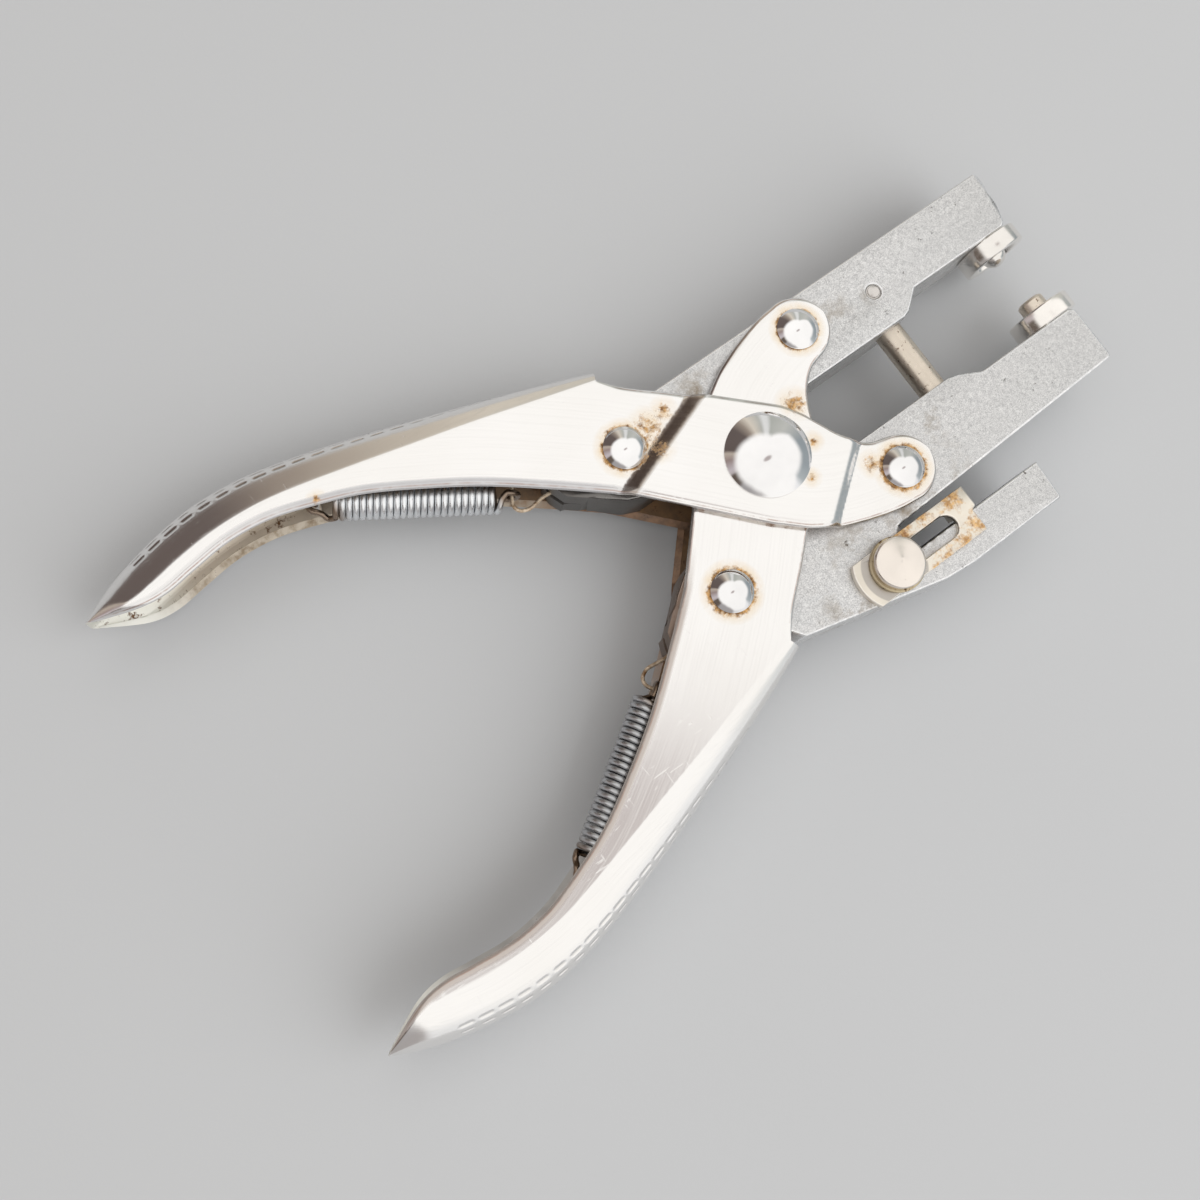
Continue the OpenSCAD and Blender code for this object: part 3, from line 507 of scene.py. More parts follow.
def yellowedFinish(name, worn=False):
    # yellowed plating with rust and a grey ring painted round the washer as its shadow; worn is its paler
    # edges
    s = newFinish(name)
    cloud = s.noise(110, 4, 0.6)
    rust = rustMask(s, stopStainsAndShadow["rust"], 0.47, 700)
    tone = (0.95, 0.90, 0.82) if worn else (0.87, 0.81, 0.71)
    colour = s.mix(s.range(cloud, 0.35, 0.7), tone, tuple(c * 0.82 for c in tone))
    # painted shadow round the washer
    washerShadow = s.times(s.nearSpots(stopStainsAndShadow["washerShadow"]), 0.0 if worn else 0.85)
    colour = s.mix(washerShadow, colour, (0.46, 0.43, 0.40))
    rusty = s.mix(s.range(s.noise(1200, 4), 0.38, 0.66), (0.78, 0.52, 0.25), (0.34, 0.17, 0.07))
    return s.finish(Base_Color=s.mix(rust, colour, rusty), Metallic=s.range(rust, 0.1, 0.9, 0.95, 0.3),
                    Roughness=s.most(s.range(cloud, 0.3, 0.7, 0.26, 0.42), s.times(rust, 0.7)),
                    Normal=s.bump(s.plus(rust, s.times(cloud, 0.3)), 0.00003, 0.5))


def hookFinish():
    # wire that is pale in places and rusty in others
    s = newFinish("rustyHookWire")
    rust = s.noise(500, 5, 0.7)
    colour = s.mix(s.range(rust, 0.35, 0.65), (0.84, 0.72, 0.56), (0.26, 0.14, 0.06))
    return s.finish(Base_Color=colour, Metallic=s.range(rust, 0.4, 0.7, 0.35, 0.8),
                    Roughness=s.range(rust, 0.3, 0.7, 0.45, 0.8), Normal=s.bump(rust, 0.00006, 0.6))


nickelPlate = nickelFinish()
nickelEdge = platedEdgeFinish()
nickelInside = handleInsideFinish()
jawSteel = jawFinish("jawSteel")
jawEdge = jawFinish("jawWornEdge", True)
rivetSteel = steelFinish("rivetSteel", (0.95, 0.945, 0.95), 0.05)
toolSteel = steelFinish("toolSteel", (0.95, 0.92, 0.88), 0.17)
punchSteel = steelFinish("punchSteel", (0.76, 0.68, 0.58), 0.3, 0.45)
springSteel = steelFinish("springSteel", (0.93, 0.95, 0.97), 0.30, 0.12, rustyEndsAndShadeB=True)
yellowedPlate = yellowedFinish("yellowedPlate")
yellowedEdge = yellowedFinish("yellowedEdge", True)
knobNickel = steelFinish("knobNickel", (0.95, 0.88, 0.81), 0.30, 0.1, turned=knobAt)
washerBrass = steelFinish("washerBrass", (0.66, 0.56, 0.38), 0.38, 0.7)
pinSteel = steelFinish("pinSteel", (0.72, 0.69, 0.66), 0.2, 0.3)
hookWire = hookFinish()
print("finishes made:", len(bpy.data.materials))


# Handles: two pressings of one shape, the second turned over about X

handleSheet = {
    "thick": 1.5, "low": 6.6, "raised": 8.2, "rim": {"width": 0.28, "segments": 3, "angle": 55},
    "rearStep": (109.5, 13.2, 2.8), "frontStep": (-52.6, 11.9, 2.6), "stepBend": 1.6,
    "lipWidth": 1.15, "lipDrop": 0.62, "rowGap": 0.33, "plateGap": 0.46,
    "dashFrom": 15.0, "dashTo": 81.0, "dashPitch": 3.3, "dashLong": 2.25, "dashDeep": 0.17,
    "dashRows": (2.75, 3.8),
    # the front end is round about a rivet; then the plate runs back between a lower and an upper line
    "eye": (pinX, -pinY, 5.7),
    "eyeLower": [-3, -10, -20, -32, -44, -56, -68, -80, -92, -102],
    "eyeUpper": [3, 10, 20, 32, 44, 54, 62, 69, 74, 78],
    "lower": [(14.6, -19.55), (12.64, -19.19), (10.1, -18.55), (7.6, -17.8), (5.4, -17.0), (3.2, -16.1),
              (1.3, -15.1), (-0.4, -14.1), (-1.8, -13.15), (-3, -12.1), (-4.7, -10.55), (-6.4, -9),
              (-10.2, -4.96), (-13.5, -1.45), (-17.5, 2.8), (-21.0, 6.54), (-23.5, 9.2)],
    "upper": [(17.6, -8.25), (16.24, -7.79), (14.8, -6.85), (13.54, -5.69), (12.4, -4.3), (11.4, -2.6),
              (10.7, -1.0), (9.9, 0.7), (9.1, 2.4), (8.1, 4), (7.1, 5.4), (5.9, 6.6), (2.0, 10.2),
              (-1.2, 13.2), (-6.5, 18.0), (-11.5, 22.3), (-14.92, 25.82)],
    # the grip: its back, its open edge, how deep the slanting shoulder is, and the share of the height left
    "back": [[-14, 27.6], [-23, 31.3], [-33, 35], [-43, 38.5], [-53, 41.7], [-62, 44.2], [-70, 45.8],
             [-78, 46.2], [-85, 45.3], [-91.5, 43.7], [-96.5, 41.9], [-100.9, 39.6]],
    "edge": [[-23.5, 9.2], [-31, 15.3], [-39.5, 21.8], [-47.5, 26.9], [-55.5, 31.4], [-62.5, 34.1],
             [-69.5, 36.2], [-76.5, 36.8], [-83, 36.1], [-88.5, 35.4], [-93.4, 36.1], [-99.8, 38.9]],
    "bevel": [2, 3.3, 4.3, 5.3, 6, 6.5, 6.8, 7, 6.8, 6.4, 5.2, 0.9],
    "height": [1, 1, 1, 1, 1, 1, 1, 1, 1, 1, 0.93, 0.42],
}


def eyeArc(degrees):
    # points on the eye's rim: centre + radius (cos, sin)
    x, y, radius = handleSheet["eye"]
    a = np.radians(degrees)
    return np.stack([x + radius * np.cos(a), y + radius * np.sin(a)], 1)


def plateLines():
    # the plate's lower and upper line, smoothed together, so that a row joins points that belong together
    g = handleSheet
    lower = np.concatenate([eyeArc(g["eyeLower"]), g["lower"]])
    upper = np.concatenate([eyeArc(g["eyeUpper"]), g["upper"]])
    both = smoothLine(np.concatenate([lower, upper], 1), 8)
    both = evenRows(both, lengthsAlong(both) / math.sqrt(2), g["plateGap"])[1]
    return both[:, :2], both[:, 2:]


def gripLines():
    # the rows from the plate to the tip: lengths along the back, back, open edge, shoulder and half height
    g = handleSheet
    lines = smoothLine(np.column_stack([g["back"], g["edge"], g["bevel"], g["height"]]), 40)
    stations, lines = evenRows(lines, lengthsAlong(lines[:, :2]), g["rowGap"])
    return stations, lines[:, :2], lines[:, 2:4], lines[:, 4], g["low"] * np.clip(lines[:, 5], 0.1, 1)


def acrossWeb(width, middle=14):
    # shares of the width at which the columns stand: close together beside both edges, closer still where the
    # web is under 4.2 wide, and even between
    lips = np.array([0, 0.10, 0.24, 0.42, 0.65, 0.9, 1.2])
    near = lips[None] * np.minimum(1, width / 4.2)[:, None]
    t = (np.arange(1, middle) / middle)[None]
    start, stop = near[:, -1:], width[:, None] - near[:, -1:]
    between = start + (stop - start) * t
    return np.concatenate([near, between, width[:, None] - near[:, ::-1]], 1) / width[:, None]


def lipFall(distance):
    # the sheet's edge rolls over as a quarter ellipse: drop = depth * (1 - sqrt(1 - ((w - d) / w)^2))
    g = handleSheet
    u = np.clip((g["lipWidth"] - distance) / g["lipWidth"], 0, 1)
    return g["lipDrop"] * (1 - np.sqrt(1 - u ** 2))


def stepHeight(x, y):
    # the near plate is raised round the centre and comes down a short slope on both sides:
    # height = raised - (raised - low) t^1.6, soft at the raised side and crisp at the foot
    g = handleSheet
    t = np.full(x.shape, -1.0)
    for angle, start, long in (g["rearStep"], g["frontStep"]):
        a = math.radians(angle)
        t = np.maximum(t, (x * math.cos(a) + y * math.sin(a) - start) / long)
    t = np.clip(t, 0, 1)
    return g["raised"] - (g["raised"] - g["low"]) * t ** g["stepBend"]


def backSection(half, bevel):
    # heights and depths of the back from near crease to far crease, one row for each station: a flat shoulder
    # that steepens, then a round nose of depth d = noseDeep * (z / noseHigh)^power, which meets it smoothly
    inner, outer = handleSheet["dashRows"]
    row = np.array([-0.42, -0.24, -0.13, 0, 0.13, 0.24, 0.42])  # columns stand close together in the dashes
    columns = np.concatenate([[0, 0.6, 1.2, 1.8], inner + row, outer + row,
                              [4.45, 4.75, 5.1, 5.5, 5.9, 6.25, 6.48, 6.6]]) / 6.6
    v = np.concatenate([columns[::-1], -columns[1:]])
    z = v[None] * half[:, None]
    high = np.abs(z)
    noseDeep = np.minimum(2.2, 0.42 * bevel)[:, None]
    drop = np.minimum(0.55 * (bevel[:, None] - noseDeep), 0.45 * half[:, None])
    noseHigh = half[:, None] - drop
    power = np.clip(noseHigh / (noseDeep * 0.75), 2, 8)
    q = np.clip((half[:, None] - high) / drop, 0, 1)
    bend = 0.62  # how far down the shoulder t is, from z = H - drop (bend t + (1 - bend) t^2)
    t = (-bend + np.sqrt(bend ** 2 + 4 * (1 - bend) * q)) / (2 * (1 - bend))
    nose = noseDeep * np.minimum(high / noseHigh, 1) ** power
    return z, np.where(high > noseHigh, bevel[:, None] - (bevel[:, None] - noseDeep) * t, nose)


def stampedDashes(along, high):
    # two short grooves side by side, again and again along the back, ending before the tip
    g = handleSheet
    inRun = (along > g["dashFrom"]) & (along < g["dashTo"])
    inDash = (np.mod(along - g["dashFrom"], g["dashPitch"]) < g["dashLong"]) & inRun
    side = sum(np.exp(-((high - row) / 0.15) ** 4) for row in g["dashRows"])
    return inDash[:, None] * side


def thinTip(piece):
    # the sheet is thinner at the very tip, where both walls meet: share = (x + 101.2) / 9, from 0.12 to 1
    co = np.empty(len(piece.data.vertices) * 3)
    piece.data.vertices.foreach_get("co", co)
    share = np.round(np.clip((co[0::3] / mm + 101.2) / 9.0, 0.12, 1.0), 2)
    group = piece.vertex_groups.new(name="sheet")
    for level in np.unique(share):
        group.add(np.nonzero(share == level)[0].tolist(), float(level), "REPLACE")


def handlePiece(name, turn):
    # three grids, welded: near web, far web and the back between them; then the sheet grows thick inwards
    g = handleSheet
    lower, upper = plateLines()
    stations, back, edge, bevel, half = gripLines()
    depth = np.linalg.norm(edge - back, axis=1)
    into = (edge - back) / depth[:, None]
    bevel = np.minimum(bevel, depth * 0.9)
    # the webs' rows, first the plate's and then the grip's, which ends at the shoulder's crease
    plates = len(lower) - 1
    low = np.concatenate([lower[:-1], edge])
    high = np.concatenate([upper[:-1], back + into * bevel[:, None]])
    width = np.linalg.norm(high - low, axis=1)
    share = acrossWeb(width)
    rows, cols = share.shape
    row = np.arange(rows)[:, None]
    flat = low[:, None] + (high - low)[:, None] * share[..., None]
    fromLow = share * width[:, None]
    fromHigh = (1 - share) * width[:, None]
    secondEdge = np.clip((plates - row) / 8, 0, 1)  # only the plate is open above too, up to its last 8 rows
    height = np.concatenate([np.full(plates, g["low"]), half])[:, None]
    fall = (lipFall(fromLow) + lipFall(fromHigh) * secondEdge) * np.clip(height / g["low"], 0.15, 1)
    groove = 0.06 * np.exp(-(fromHigh / 0.22) ** 2) * (1 - secondEdge)
    groove = groove * np.clip(height / g["low"] * 2 - 1, 0, 1)
    raised = np.where(row < plates, stepHeight(flat[..., 0], flat[..., 1]), height)
    near = np.concatenate([flat, (raised - fall - groove)[..., None]], 2)
    far = np.concatenate([flat, -(height - fall - groove)[..., None]], 2)
    # the back: near shoulder, spine and far shoulder
    z, deep = backSection(half, bevel)
    dashes = stampedDashes(stations, np.abs(z))
    deep = deep + g["dashDeep"] * dashes
    z[:, 0] -= groove[plates:, -1]
    z[:, -1] += groove[plates:, -1]
    spine = np.concatenate([back[:, None] + into[:, None] * deep[..., None], z[..., None]], 2)
    # marks for the finish: mm from an open edge up to 4, share of a dash, and mm along and across the sheet
    toEdge = np.minimum(np.minimum(fromLow, np.where(secondEdge > 0.5, fromHigh, 9.0)), 4)
    rowRun = np.concatenate([-np.linspace(60, 0, plates), stations])[:, None] + 0 * share
    webFlow = np.stack([rowRun, fromLow, 0 * share], -1)
    backFlow = np.stack([stations[:, None] + 0 * z, width[plates:, None] + deep, z], -1)
    marks = {"edge": joined(toEdge, toEdge, 0 * z + 4), "dash": joined(0 * share, 0 * share, dashes),
             "flow": joined(webFlow, webFlow, backFlow).reshape(-1, 3)}
    quads = np.concatenate([gridQuads(rows, cols), gridQuads(rows, cols, rows * cols)[:, ::-1],
                            gridQuads(*z.shape, 2 * rows * cols)])
    points = joined(near, far, spine).reshape(-1, 3) * turn
    piece = meshPiece(name, points, quads, [nickelPlate, nickelInside, nickelEdge], 0.01, marks)
    thinTip(piece)
    wall = piece.modifiers.new("sheet", "SOLIDIFY")
    wall.thickness = g["thick"] * mm
    wall.offset = -1
    wall.vertex_group = "sheet"
    wall.use_even_offset = True
    wall.material_offset = 1
    wall.material_offset_rim = 2
    bevelled(piece, g["rim"])
    return piece


for letter, turn in (("a", (1, 1, 1)), ("b", (1, -1, -1))):
    handle = "handle_" + letter
    carried(handlePiece("handleShell" + letter.upper(), turn), handle, handle)
print("handles pressed")


# Rivets, pins and bushes

def domeArc(radius, height, n=26):
    # part of a sphere through the rim: rows of (r, z) from the rim up to the middle
    ball = (radius ** 2 + height ** 2) / (2 * height)
    a = np.linspace(math.asin(radius / ball), 0, n)
    return np.stack([ball * np.sin(a), height - ball + ball * np.cos(a)], 1)


# node, body, place, dome's radius and height, seat from the mid-plane, low head's radius and height, shank
rivets = {
    "centreRivet": ("centre_rivet", "handle_b", (0, 0), 7.1, 2.7, 8.25, 6.2, 1.5, 2.2),
    "frontRivetA": ("front_rivet_a", "handle_a", (pinX, -pinY), 3.5, 1.5, 6.65, 3.0, 0.9, 2.0),
    "frontRivetB": ("front_rivet_b", "handle_b", (pinX, pinY), 3.5, 1.5, 6.65, 3.0, 0.9, 2.0),
    "rearRivetA": ("rear_rivet_a", "handle_a", (-pinX, pinY), 3.5, 1.5, 6.65, 3.0, 0.9, 1.6),
    "rearRivetB": ("rear_rivet_b", "handle_b", (-pinX, -pinY), 3.5, 1.5, 6.65, 3.0, 0.9, 1.6),
}
for name, (node, body, at, domeR, domeH, seat, lowR, lowH, shank) in rivets.items():
    foot = -seat - lowH
    lowHead = [(0, foot), (lowR * 0.5, foot), (lowR - 0.35, foot), (lowR, foot + 0.3), (lowR, -seat)]
    stem = [(shank, -seat), (shank, seat)]
    rim = [(domeR - 0.25, seat), (domeR - 0.04, seat + 0.12), (domeR, seat + 0.3)]
    profile = np.concatenate([lowHead, stem, rim, domeArc(domeR - 0.06, domeH) + (0, seat + 0.35)])
    carried(turnedPiece(name, profile, (*at, 0), (0, 0, 1), rivetSteel, 128), body, node)
print("rivets turned:", len(rivets))

# node, body, place, radius, half length
pins = {
    "punchCrossPin": ("punch_cross_pin", "upper_jaw", (punchX, 12.5), 1.2, 5.1),
    "springAnchorA": ("spring_anchor_a", "handle_a", (anchorX, anchorY), 0.8, 6.6),
    "springAnchorB": ("spring_anchor_b", "handle_b", (anchorX, -anchorY), 0.8, 6.6),
    "tailPinUpper": ("tail_pin_upper", "upper_jaw", (tailX, tailY), 0.6, 5.0),
    "tailPinLower": ("tail_pin_lower", "lower_jaw", (tailX, -tailY), 0.6, 5.0),
}
for name, (node, body, at, r, h) in pins.items():
    end = np.array([(r, h - 0.4), (r - 0.14, h - 0.38), (r - 0.16, h - 0.22), (r - 0.24, h - 0.12),
                    (r * 0.5, h - 0.03), (0, h)])
    profile = np.concatenate([(end * (1, -1))[::-1], end])
    carried(turnedPiece(name, profile, (*at, 0), (0, 0, 1), pinSteel, 48), body, node)

# node, body, place, outer radius, inner radius, half length
tubes = {
    "centreSleeve": ("centre_sleeve", "handle_b", (0, 0), 3.2, 2.25, 5.05),
    "slideBushA": ("slide_bush_a", "handle_a", (-pinX, pinY), 2.5, 1.65, 5.05),
    "slideBushB": ("slide_bush_b", "handle_b", (-pinX, -pinY), 2.5, 1.65, 5.05),
}
for name, (node, body, at, outer, inner, h) in tubes.items():
    profile = [(inner, -h + 0.1), (inner + 0.1, -h), (outer - 0.15, -h), (outer, -h + 0.15),
               (outer, h - 0.15), (outer - 0.15, h), (inner + 0.1, h), (inner, h - 0.1), (inner, -h + 0.1)]
    carried(turnedPiece(name, profile, (*at, 0), (0, 0, 1), pinSteel, 64), body, node)
print("pins and bushes turned")


# Jaws

# edges are rounded from crispTail to tipFrom
jawEdges = {"width": 0.34, "segments": 3, "angle": 24, "crispTail": -26.4, "tipFrom": 61.2,
            "tailFrom": -22.7, "tailNear": 7.7, "tailFar": 8.3, "tailSlope": 0.81, "tailOut": 13.5}


def slimTail(jaw):
    # the tail is ground away on its inner side up to the slant line |y| = start + 0.81 (-22.7 - x)
    g = jawEdges
    co = np.empty(len(jaw.data.vertices) * 3)
    jaw.data.vertices.foreach_get("co", co)
    x, y, z = co[0::3] / mm, co[1::3] / mm, co[2::3] / mm
    start = np.where(z > midPlane, g["tailNear"], g["tailFar"])
    slant = np.minimum(start + g["tailSlope"] * (g["tailFrom"] - x), g["tailOut"])
    slant = np.where(x < g["tailFrom"], slant, 0)
    co[1::3] = np.sign(y) * np.maximum(np.abs(y), slant) * mm
    jaw.data.vertices.foreach_set("co", co)
    jaw.data.update()


def wornTip(jaw):
    # slanting faces past tipFrom, neither level nor square to the jaw, are ground bright
    for face in jaw.data.polygons:
        slanting = face.normal.x > 0.25 and abs(face.normal.z) > 0.25
        if face.center.x / mm > jawEdges["tipFrom"] and slanting:
            face.material_index = 1


for node, name in (("upper_jaw", "upperJaw"), ("lower_jaw", "lowerJaw")):
    jaw = cadCopy(node, name, [jawSteel, jawEdge])
    slimTail(jaw)
    wornTip(jaw)
    bevelChosen(jaw, jawEdges, lambda middle: jawEdges["crispTail"] < middle.x < jawEdges["tipFrom"])
    carried(jaw, node, node)
print("jaws ground and bevelled")


# Dies, post and punch, turned about lines across the jaws; profile rows are (radius, height)

dieRim = [(3.1, 0.0), (5.45, 0.0), (5.7, 0.2), (5.7, 1.5), (5.7, 3.0), (5.62, 3.16), (5.45, 3.3)]
a = np.linspace(0.15, 1.4, 8)
nipple = np.stack([2.2 * np.cos(a), 2.42 + 2.18 * np.sin(a)], 1)
upperDie = [(0, -4.8), (3.1, -4.8), *dieRim, (4.15, 3.3), (3.95, 3.16), (3.7, 2.5), (2.6, 2.4), (2.2, 2.46),
            (2.2, 2.75), *nipple, (0, 4.6)]
carried(turnedPiece("upperDie", upperDie, (dieX, 9.1, 0), (0, -1, 0), toolSteel, 128),
        "upper_jaw", "upper_die")
lowerDie = [(2.4, -4.1), (3.1, -4.1), *dieRim, (4.1, 3.3), (3.9, 3.15), (3.6, 2.62), (2.4, 2.6), (2.4, -4.1)]
carried(turnedPiece("lowerDie", lowerDie, (dieX, -8.9, 0), (0, 1, 0), toolSteel, 128),
        "lower_jaw", "lower_die")
post = [(0, -5.2), (2.75, -5.2), (2.85, -5.1), (2.85, -4.3), (2.75, -4.2), (2.35, -4.2), (2.35, 4.95),
        (2.3, 5.15), (2.1, 5.35), (1.85, 5.5), (1.6, 5.58), (0.7, 5.6), (0.5, 5.5), (0, 5.45)]
carried(turnedPiece("locatingPost", post, (dieX, -8.9, 0), (0, 1, 0), punchSteel),
        "post", "locating_post")
punch = [(0, -20.0), (1.7, -20.0), (1.85, -20.2), (2.3, -20.2), (2.45, -20.05), (2.45, 15.6), (2.2, 15.88),
         (0, 15.9)]
carried(turnedPiece("punchRod", punch, (punchX, 0, 0), (0, 1, 0), punchSteel),
        "upper_jaw", "punch_rod")
print("dies and punch turned")


# Paper stop; only the plate's upper edges are rounded, and its front inner corner stays crisp

stopEdges = {"width": 0.3, "segments": 3, "angle": 24, "topFrom": 14.9, "crispX": 22.8, "crispY": -22.3}


def stopEdgeRound(middle):
    # above topFrom, and not in the corner past crispX and crispY
    corner = middle.x > stopEdges["crispX"] and middle.y > stopEdges["crispY"]
    return middle.z > stopEdges["topFrom"] and not corner


stop = cadCopy("stop_plate", "stopPlate", [yellowedPlate, yellowedEdge])
bevelChosen(stop, stopEdges, stopEdgeRound)
carried(stop, "stop", "stop_plate")
washer = [(1.9, 6.1), (2.0, 6.05), (4.35, 6.05), (4.6, 6.2), (4.6, 6.7), (4.4, 6.85), (2.0, 6.85), (1.9, 6.8),
          (1.9, 6.1)]
carried(turnedPiece("knobWasher", washer, (*knobAt, 0), (0, 0, 1), washerBrass),
        "knob", "knob_washer")
knob = [(0, -1.7), (1.6, -1.7), (1.85, -1.5), (1.85, 6.9), (3.8, 6.9), (4.05, 7.0), (4.1, 7.25), (4.22, 7.35),
        (4.24, 8.0), (4.2, 8.2), (4.05, 8.36), (3.8, 8.46), (3.0, 8.68), (2.2, 8.92), (1.5, 9.13),
        (1.1, 9.245), (0.8, 9.335), (0.6, 9.4), (0.42, 9.455), (0.25, 9.49), (0.12, 9.505), (0, 9.51)]
carried(turnedPiece("stopKnob", knob, (*knobAt, 0), (0, 0, 1), knobNickel, 128),
        "knob", "stop_knob")
print("paper stop made")


# Return springs and their hooks, drawn in the spring's own direction and turned over for handle b

spring = {"anchor": (anchorX, anchorY), "front": (-37.8, 20.65), "tail": (tailX, tailY), "radius": 2.49,
          "wire": 0.5, "curls": 24, "room": 2.87, "steps": 26, "rearEye": 1.42, "frontEye": 2.1,
          "eyePast": 1.35, "changeOver": 26, "hookWire": 0.32, "hookInside": 0.62, "hookBend": 1.47}
springLine = np.subtract(spring["front"], spring["anchor"])
springLong = float(np.linalg.norm(springLine))
springLine /= springLong
springSide = np.array([-springLine[1], springLine[0]])
eyeAt = springLong + spring["eyePast"]  # the middle of the front eye


def alongSpring(path):
    # (along, aside, z) in the spring's direction to plan mm: anchor + along * line + aside * side
    path = np.asarray(path, float)
    plan = spring["anchor"] + path[:, :1] * springLine + path[:, 1:2] * springSide
    return np.concatenate([plan, path[:, 2:]], 1)


def springPath():
    # rear eye round the pin, lead, coil of r (-cos, sin) at an even pitch, lead and upright front eye, with a
    # direction across the wire at each point: up, then along the coil's axis, then to the side
    room, radius, front = spring["room"], spring["radius"], spring["frontEye"]
    turns = np.arange(spring["curls"] * spring["steps"] + 1) / spring["steps"]
    pitch = (springLong - room) / spring["curls"]
    a = 2 * np.pi * turns
    coil = np.stack([room + pitch * turns, -radius * np.cos(a), radius * np.sin(a)], 1)
    a = np.radians(np.linspace(60, 270, 22))
    rear = np.stack([spring["rearEye"] * np.cos(a), spring["rearEye"] * np.sin(a), 0 * a], 1)
    rearLead = smoothLine([(0.1, -1.46, -0.02), (0.9, -1.82, -0.1), (room - 1.1, -2.4, -0.7),
                           (room, -radius, 0)], 8)
    frontLead = smoothLine([(springLong, -radius, 0), (springLong + 0.35, -2.12, 1.05),
                            (springLong + 0.75, -1.03, 1.75), (eyeAt + 0.22, 0, 2.09)], 8)
    a = np.radians(np.linspace(84, -80, 24))
    eye = np.stack([eyeAt + front * np.cos(a), 0 * a, front * np.sin(a)], 1)
    path = np.concatenate([rear, rearLead[1:-1], coil, frontLead[1:-1], eye, [(eyeAt - 0.4, 0, -2.2)]])
    up, axis, aside = np.array([0, 0, 1.0]), np.array([*springLine, 0.0]), np.array([*springSide, 0.0])
    first = len(rear) + len(rearLead) - 2
    last = first + len(coil)
    rows = spring["changeOver"]
    w = np.linspace(0, 1, rows)[:, None]
    across = np.tile(axis, (len(path), 1))
    across[:first] = up
    across[first:first + rows] = up * (1 - w) + axis * w
    across[last - rows:last] = axis * (1 - w) + aside * w
    across[last:] = aside
    return alongSpring(path), across


def hookPath():
    # from inside the front eye, round its wire, along the tail and in a half turn round the tail pin
    bend = spring["hookBend"]
    tail = np.subtract(spring["tail"], spring["anchor"])
    start = eyeAt + spring["frontEye"] - spring["hookWire"] - spring["hookInside"]
    lead = [(0.1, 1.7, 0), (0, 1, 0), (-0.05, -0.9, 0), (0.25, -1.9, 0), (1, -2.5, 0), (2, -2.5, 0),
            (3, -2.1, 0), (5.2, -0.3, 0)]
    a = np.radians(np.linspace(-50, 132, 9))
    turn = np.stack([tail @ springLine + bend * np.cos(a), tail @ springSide + bend * np.sin(a), 0 * a], 1)
    path = np.concatenate([np.add(lead, (start, 0, 0)), turn, turn[-1:] + (-0.44, -0.4, 0)])
    return alongSpring(smoothLine(path, 8))


springPlan, across = springPath()
hookPlan = hookPath()
for letter, turn in (("a", np.array([1.0, 1, 1])), ("b", np.array([1.0, -1, -1]))):
    wound = wirePiece("returnSpring" + letter.upper(), springPlan * turn, spring["wire"], across * turn,
                      springSteel)
    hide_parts("return_spring_" + letter)
    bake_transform(wound)
    bent = wirePiece("springHook" + letter.upper(), hookPlan * turn, spring["hookWire"], (0, 0, 1), hookWire,
                     14)
    carried(bent, "hook_" + letter, "spring_hook_" + letter)

# the post's spring: a cone of three turns that widens away from the post, its top against the post and its
# foot in the jaw
coneSpring = {"turns": 3, "top": -14.35, "pitch": 1.15, "wide": 2.55, "taper": 0.5, "wire": 0.2}
t = np.linspace(0, coneSpring["turns"], 79)
r = coneSpring["wide"] - coneSpring["taper"] * (coneSpring["turns"] - t)
a = 2 * np.pi * t
cone = np.stack([dieX + r * np.cos(a), coneSpring["top"] - coneSpring["pitch"] * t, r * np.sin(a)], 1)
postSpring = wirePiece("postSpring", cone, coneSpring["wire"], (0, 1, 0), springSteel, 10)
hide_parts("post_spring")
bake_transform(postSpring)
print("springs wound")


# Table, world and lamp

def tableFinish():
    # pale and matt, faintly clouded
    s = newFinish("paleTable")
    colour = s.mix(s.range(s.noise(3, 3, 0.5), 0.3, 0.7), (0.50, 0.506, 0.515), (0.475, 0.48, 0.49))
    return s.finish(Base_Color=colour, Roughness=0.62, Normal=s.bump(s.noise(1400, 2, 0.6), 0.00005, 0.25))


bpy.ops.mesh.primitive_plane_add(size=4.0, location=(0, 0, -0.0001))
table = bpy.context.object
table.name = "paleTable"
table.data.materials.append(tableFinish())

# a white ceiling over darker walls, which the metal shows near the horizon; a dull panel hangs in the ceiling
tent = {
    "strength": 0.92, "ceiling": (1.16, 1.14, 1.11),
    "panel": (0.57, 0.505, 0.49), "panelAt": (0.080, -0.045), "panelSize": (0.135, 0.062),
    "panelEdge": (0.55, 1.45),
    # direction round the tool in degrees and the wall's colour there
    "walls": [(-180, (0.14, 0.11, 0.09)), (-172, (0.16, 0.13, 0.11)), (-165, (0.42, 0.40, 0.40)),
              (-118, (0.44, 0.41, 0.40)), (-108, (0.9, 0.9, 0.9)), (-62, (1.0, 1.0, 1.0)),
              (-52, (0.50, 0.54, 0.55)), (-34, (0.38, 0.42, 0.44)), (-4, (0.34, 0.38, 0.40)),
              (20, (0.60, 0.60, 0.56)), (38, (0.50, 0.51, 0.47)), (43, (0.82, 0.82, 0.80)),
              (48, (0.82, 0.82, 0.80)), (53, (0.52, 0.52, 0.48)), (66, (0.75, 0.68, 0.58)),
              (76, (0.36, 0.30, 0.25)), (88, (0.15, 0.12, 0.11)), (122, (0.14, 0.11, 0.10)),
              (128, (0.55, 0.47, 0.40)), (140, (0.36, 0.28, 0.26)), (158, (0.62, 0.56, 0.58)),
              (164, (0.58, 0.52, 0.52)), (169, (0.15, 0.12, 0.10)), (180, (0.14, 0.11, 0.09))],
    # direction, and how many degrees up the wall ends; it fades into the ceiling from 6 below to 8 above
    "wallEnd": [(-180, 34), (-150, 34), (-127, 28), (-110, 16), (-75, 4), (-55, 24), (-20, 18), (10, 22),
                (34, 44), (60, 43), (90, 43), (130, 38), (160, 36), (180, 34)],
    "tallest": 60, "fade": (-6, 8),
}
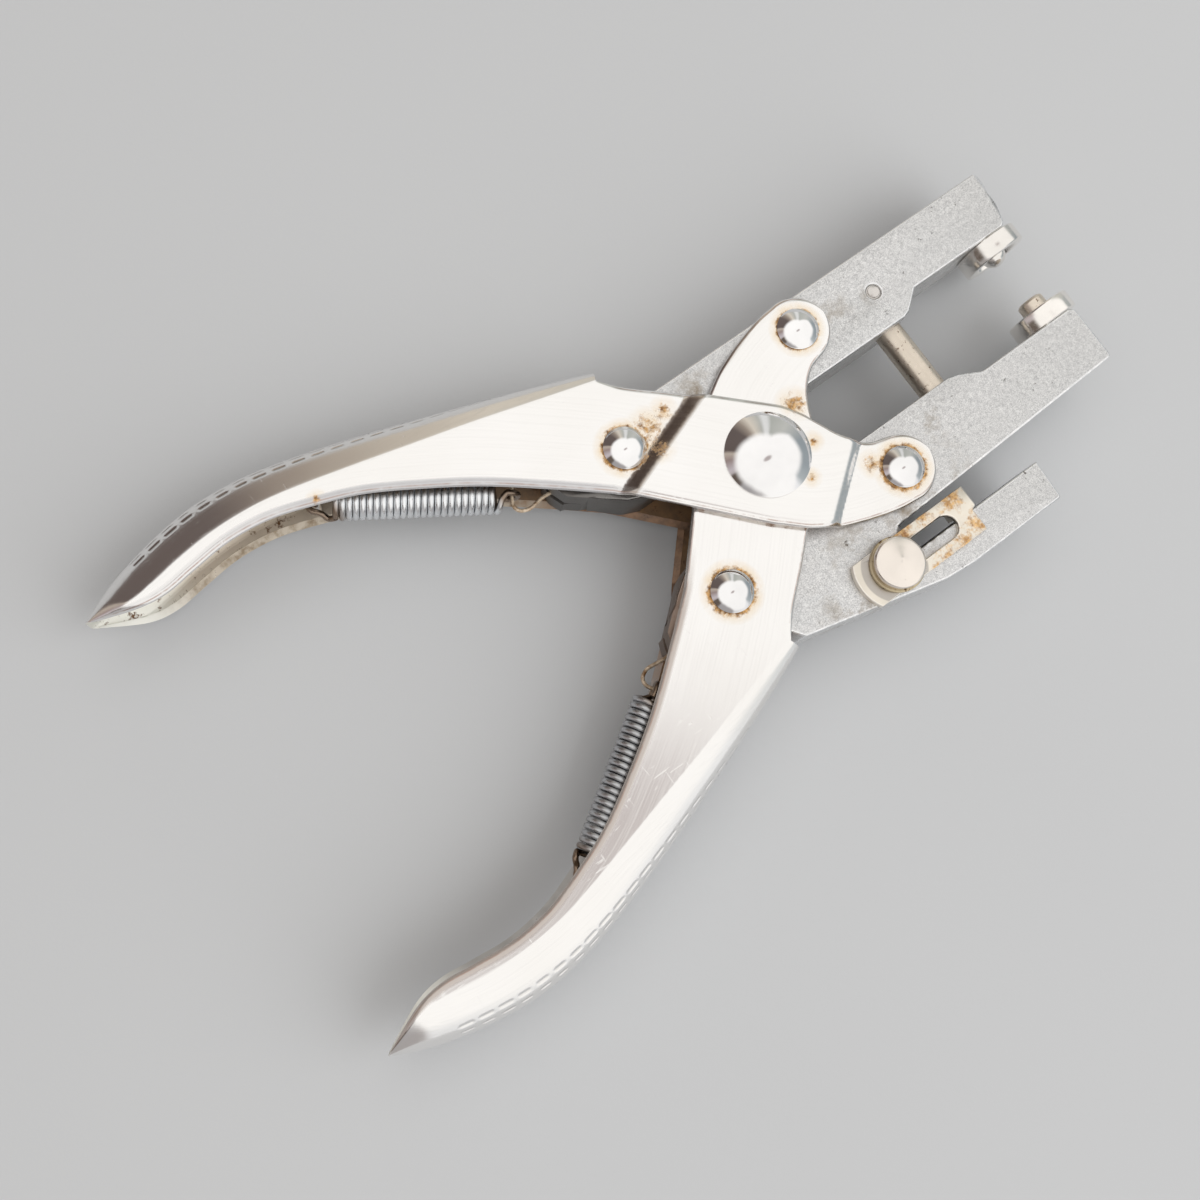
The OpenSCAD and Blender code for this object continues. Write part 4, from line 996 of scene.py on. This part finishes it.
world = bpy.data.worlds.new("whiteTent")
bpy.context.scene.world = world
sky = Recipe(world, "Generated")
east, north, up = sky.place()
turnShare = sky.plus(sky.times(sky.math("ARCTAN2", north, east), 1 / (2 * math.pi)), 0.5)


def aroundTool(stops):
    # a colour for every direction round the tool, even between stops of (degrees, colour)
    made = sky.node("ValToRGB", _0=turnShare)
    elements = made.color_ramp.elements
    for element, (degrees, colour) in zip(elements, (stops[0], stops[-1])):
        element.position = degrees / 360 + 0.5
        element.color = (*colour, 1)
    for degrees, colour in stops[1:-1]:
        elements.new(degrees / 360 + 0.5).color = (*colour, 1)
    return made.outputs[0]


tallest = tent["tallest"]
wallEnd = sky.times(aroundTool([(degrees, (v / tallest,) * 3) for degrees, v in tent["wallEnd"]]), tallest)
lift = sky.times(sky.math("ARCSINE", up), 180 / math.pi)
inCeiling = sky.range(sky.math("SUBTRACT", lift, wallEnd), *tent["fade"], kind="SMOOTHSTEP")
offX, offY = (sky.times(sky.math("SUBTRACT", part, middle), 1 / size)
              for part, middle, size in zip((east, north), tent["panelAt"], tent["panelSize"]))
offPanel = sky.math("SQRT", sky.plus(sky.times(offX, offX), sky.times(offY, offY)))
offPanel = sky.plus(offPanel, sky.math("LESS_THAN", up, 0.0))
overhead = sky.mix(sky.range(offPanel, *tent["panelEdge"], kind="SMOOTHSTEP"), tent["panel"], tent["ceiling"])
background = world.node_tree.nodes["Background"]
sky.feed(background.inputs["Color"], sky.mix(inCeiling, aroundTool(tent["walls"]), overhead))
background.inputs["Strength"].default_value = tent["strength"]

window = {"at": (0.34, -0.62, 0.62), "size": 1.0, "power": 5.4, "colour": (0.96, 0.985, 1.0)}
light = bpy.data.lights.new("window", "AREA")
light.size = window["size"]
light.energy = window["power"]
light.color = window["colour"]
lamp = bpy.data.objects.new("window", light)
bpy.context.collection.objects.link(lamp)
lamp.location = window["at"]
lamp.rotation_euler = (-Vector(window["at"])).to_track_quat("-Z", "Y").to_euler()
lamp.visible_glossy = False
print("table and light set")
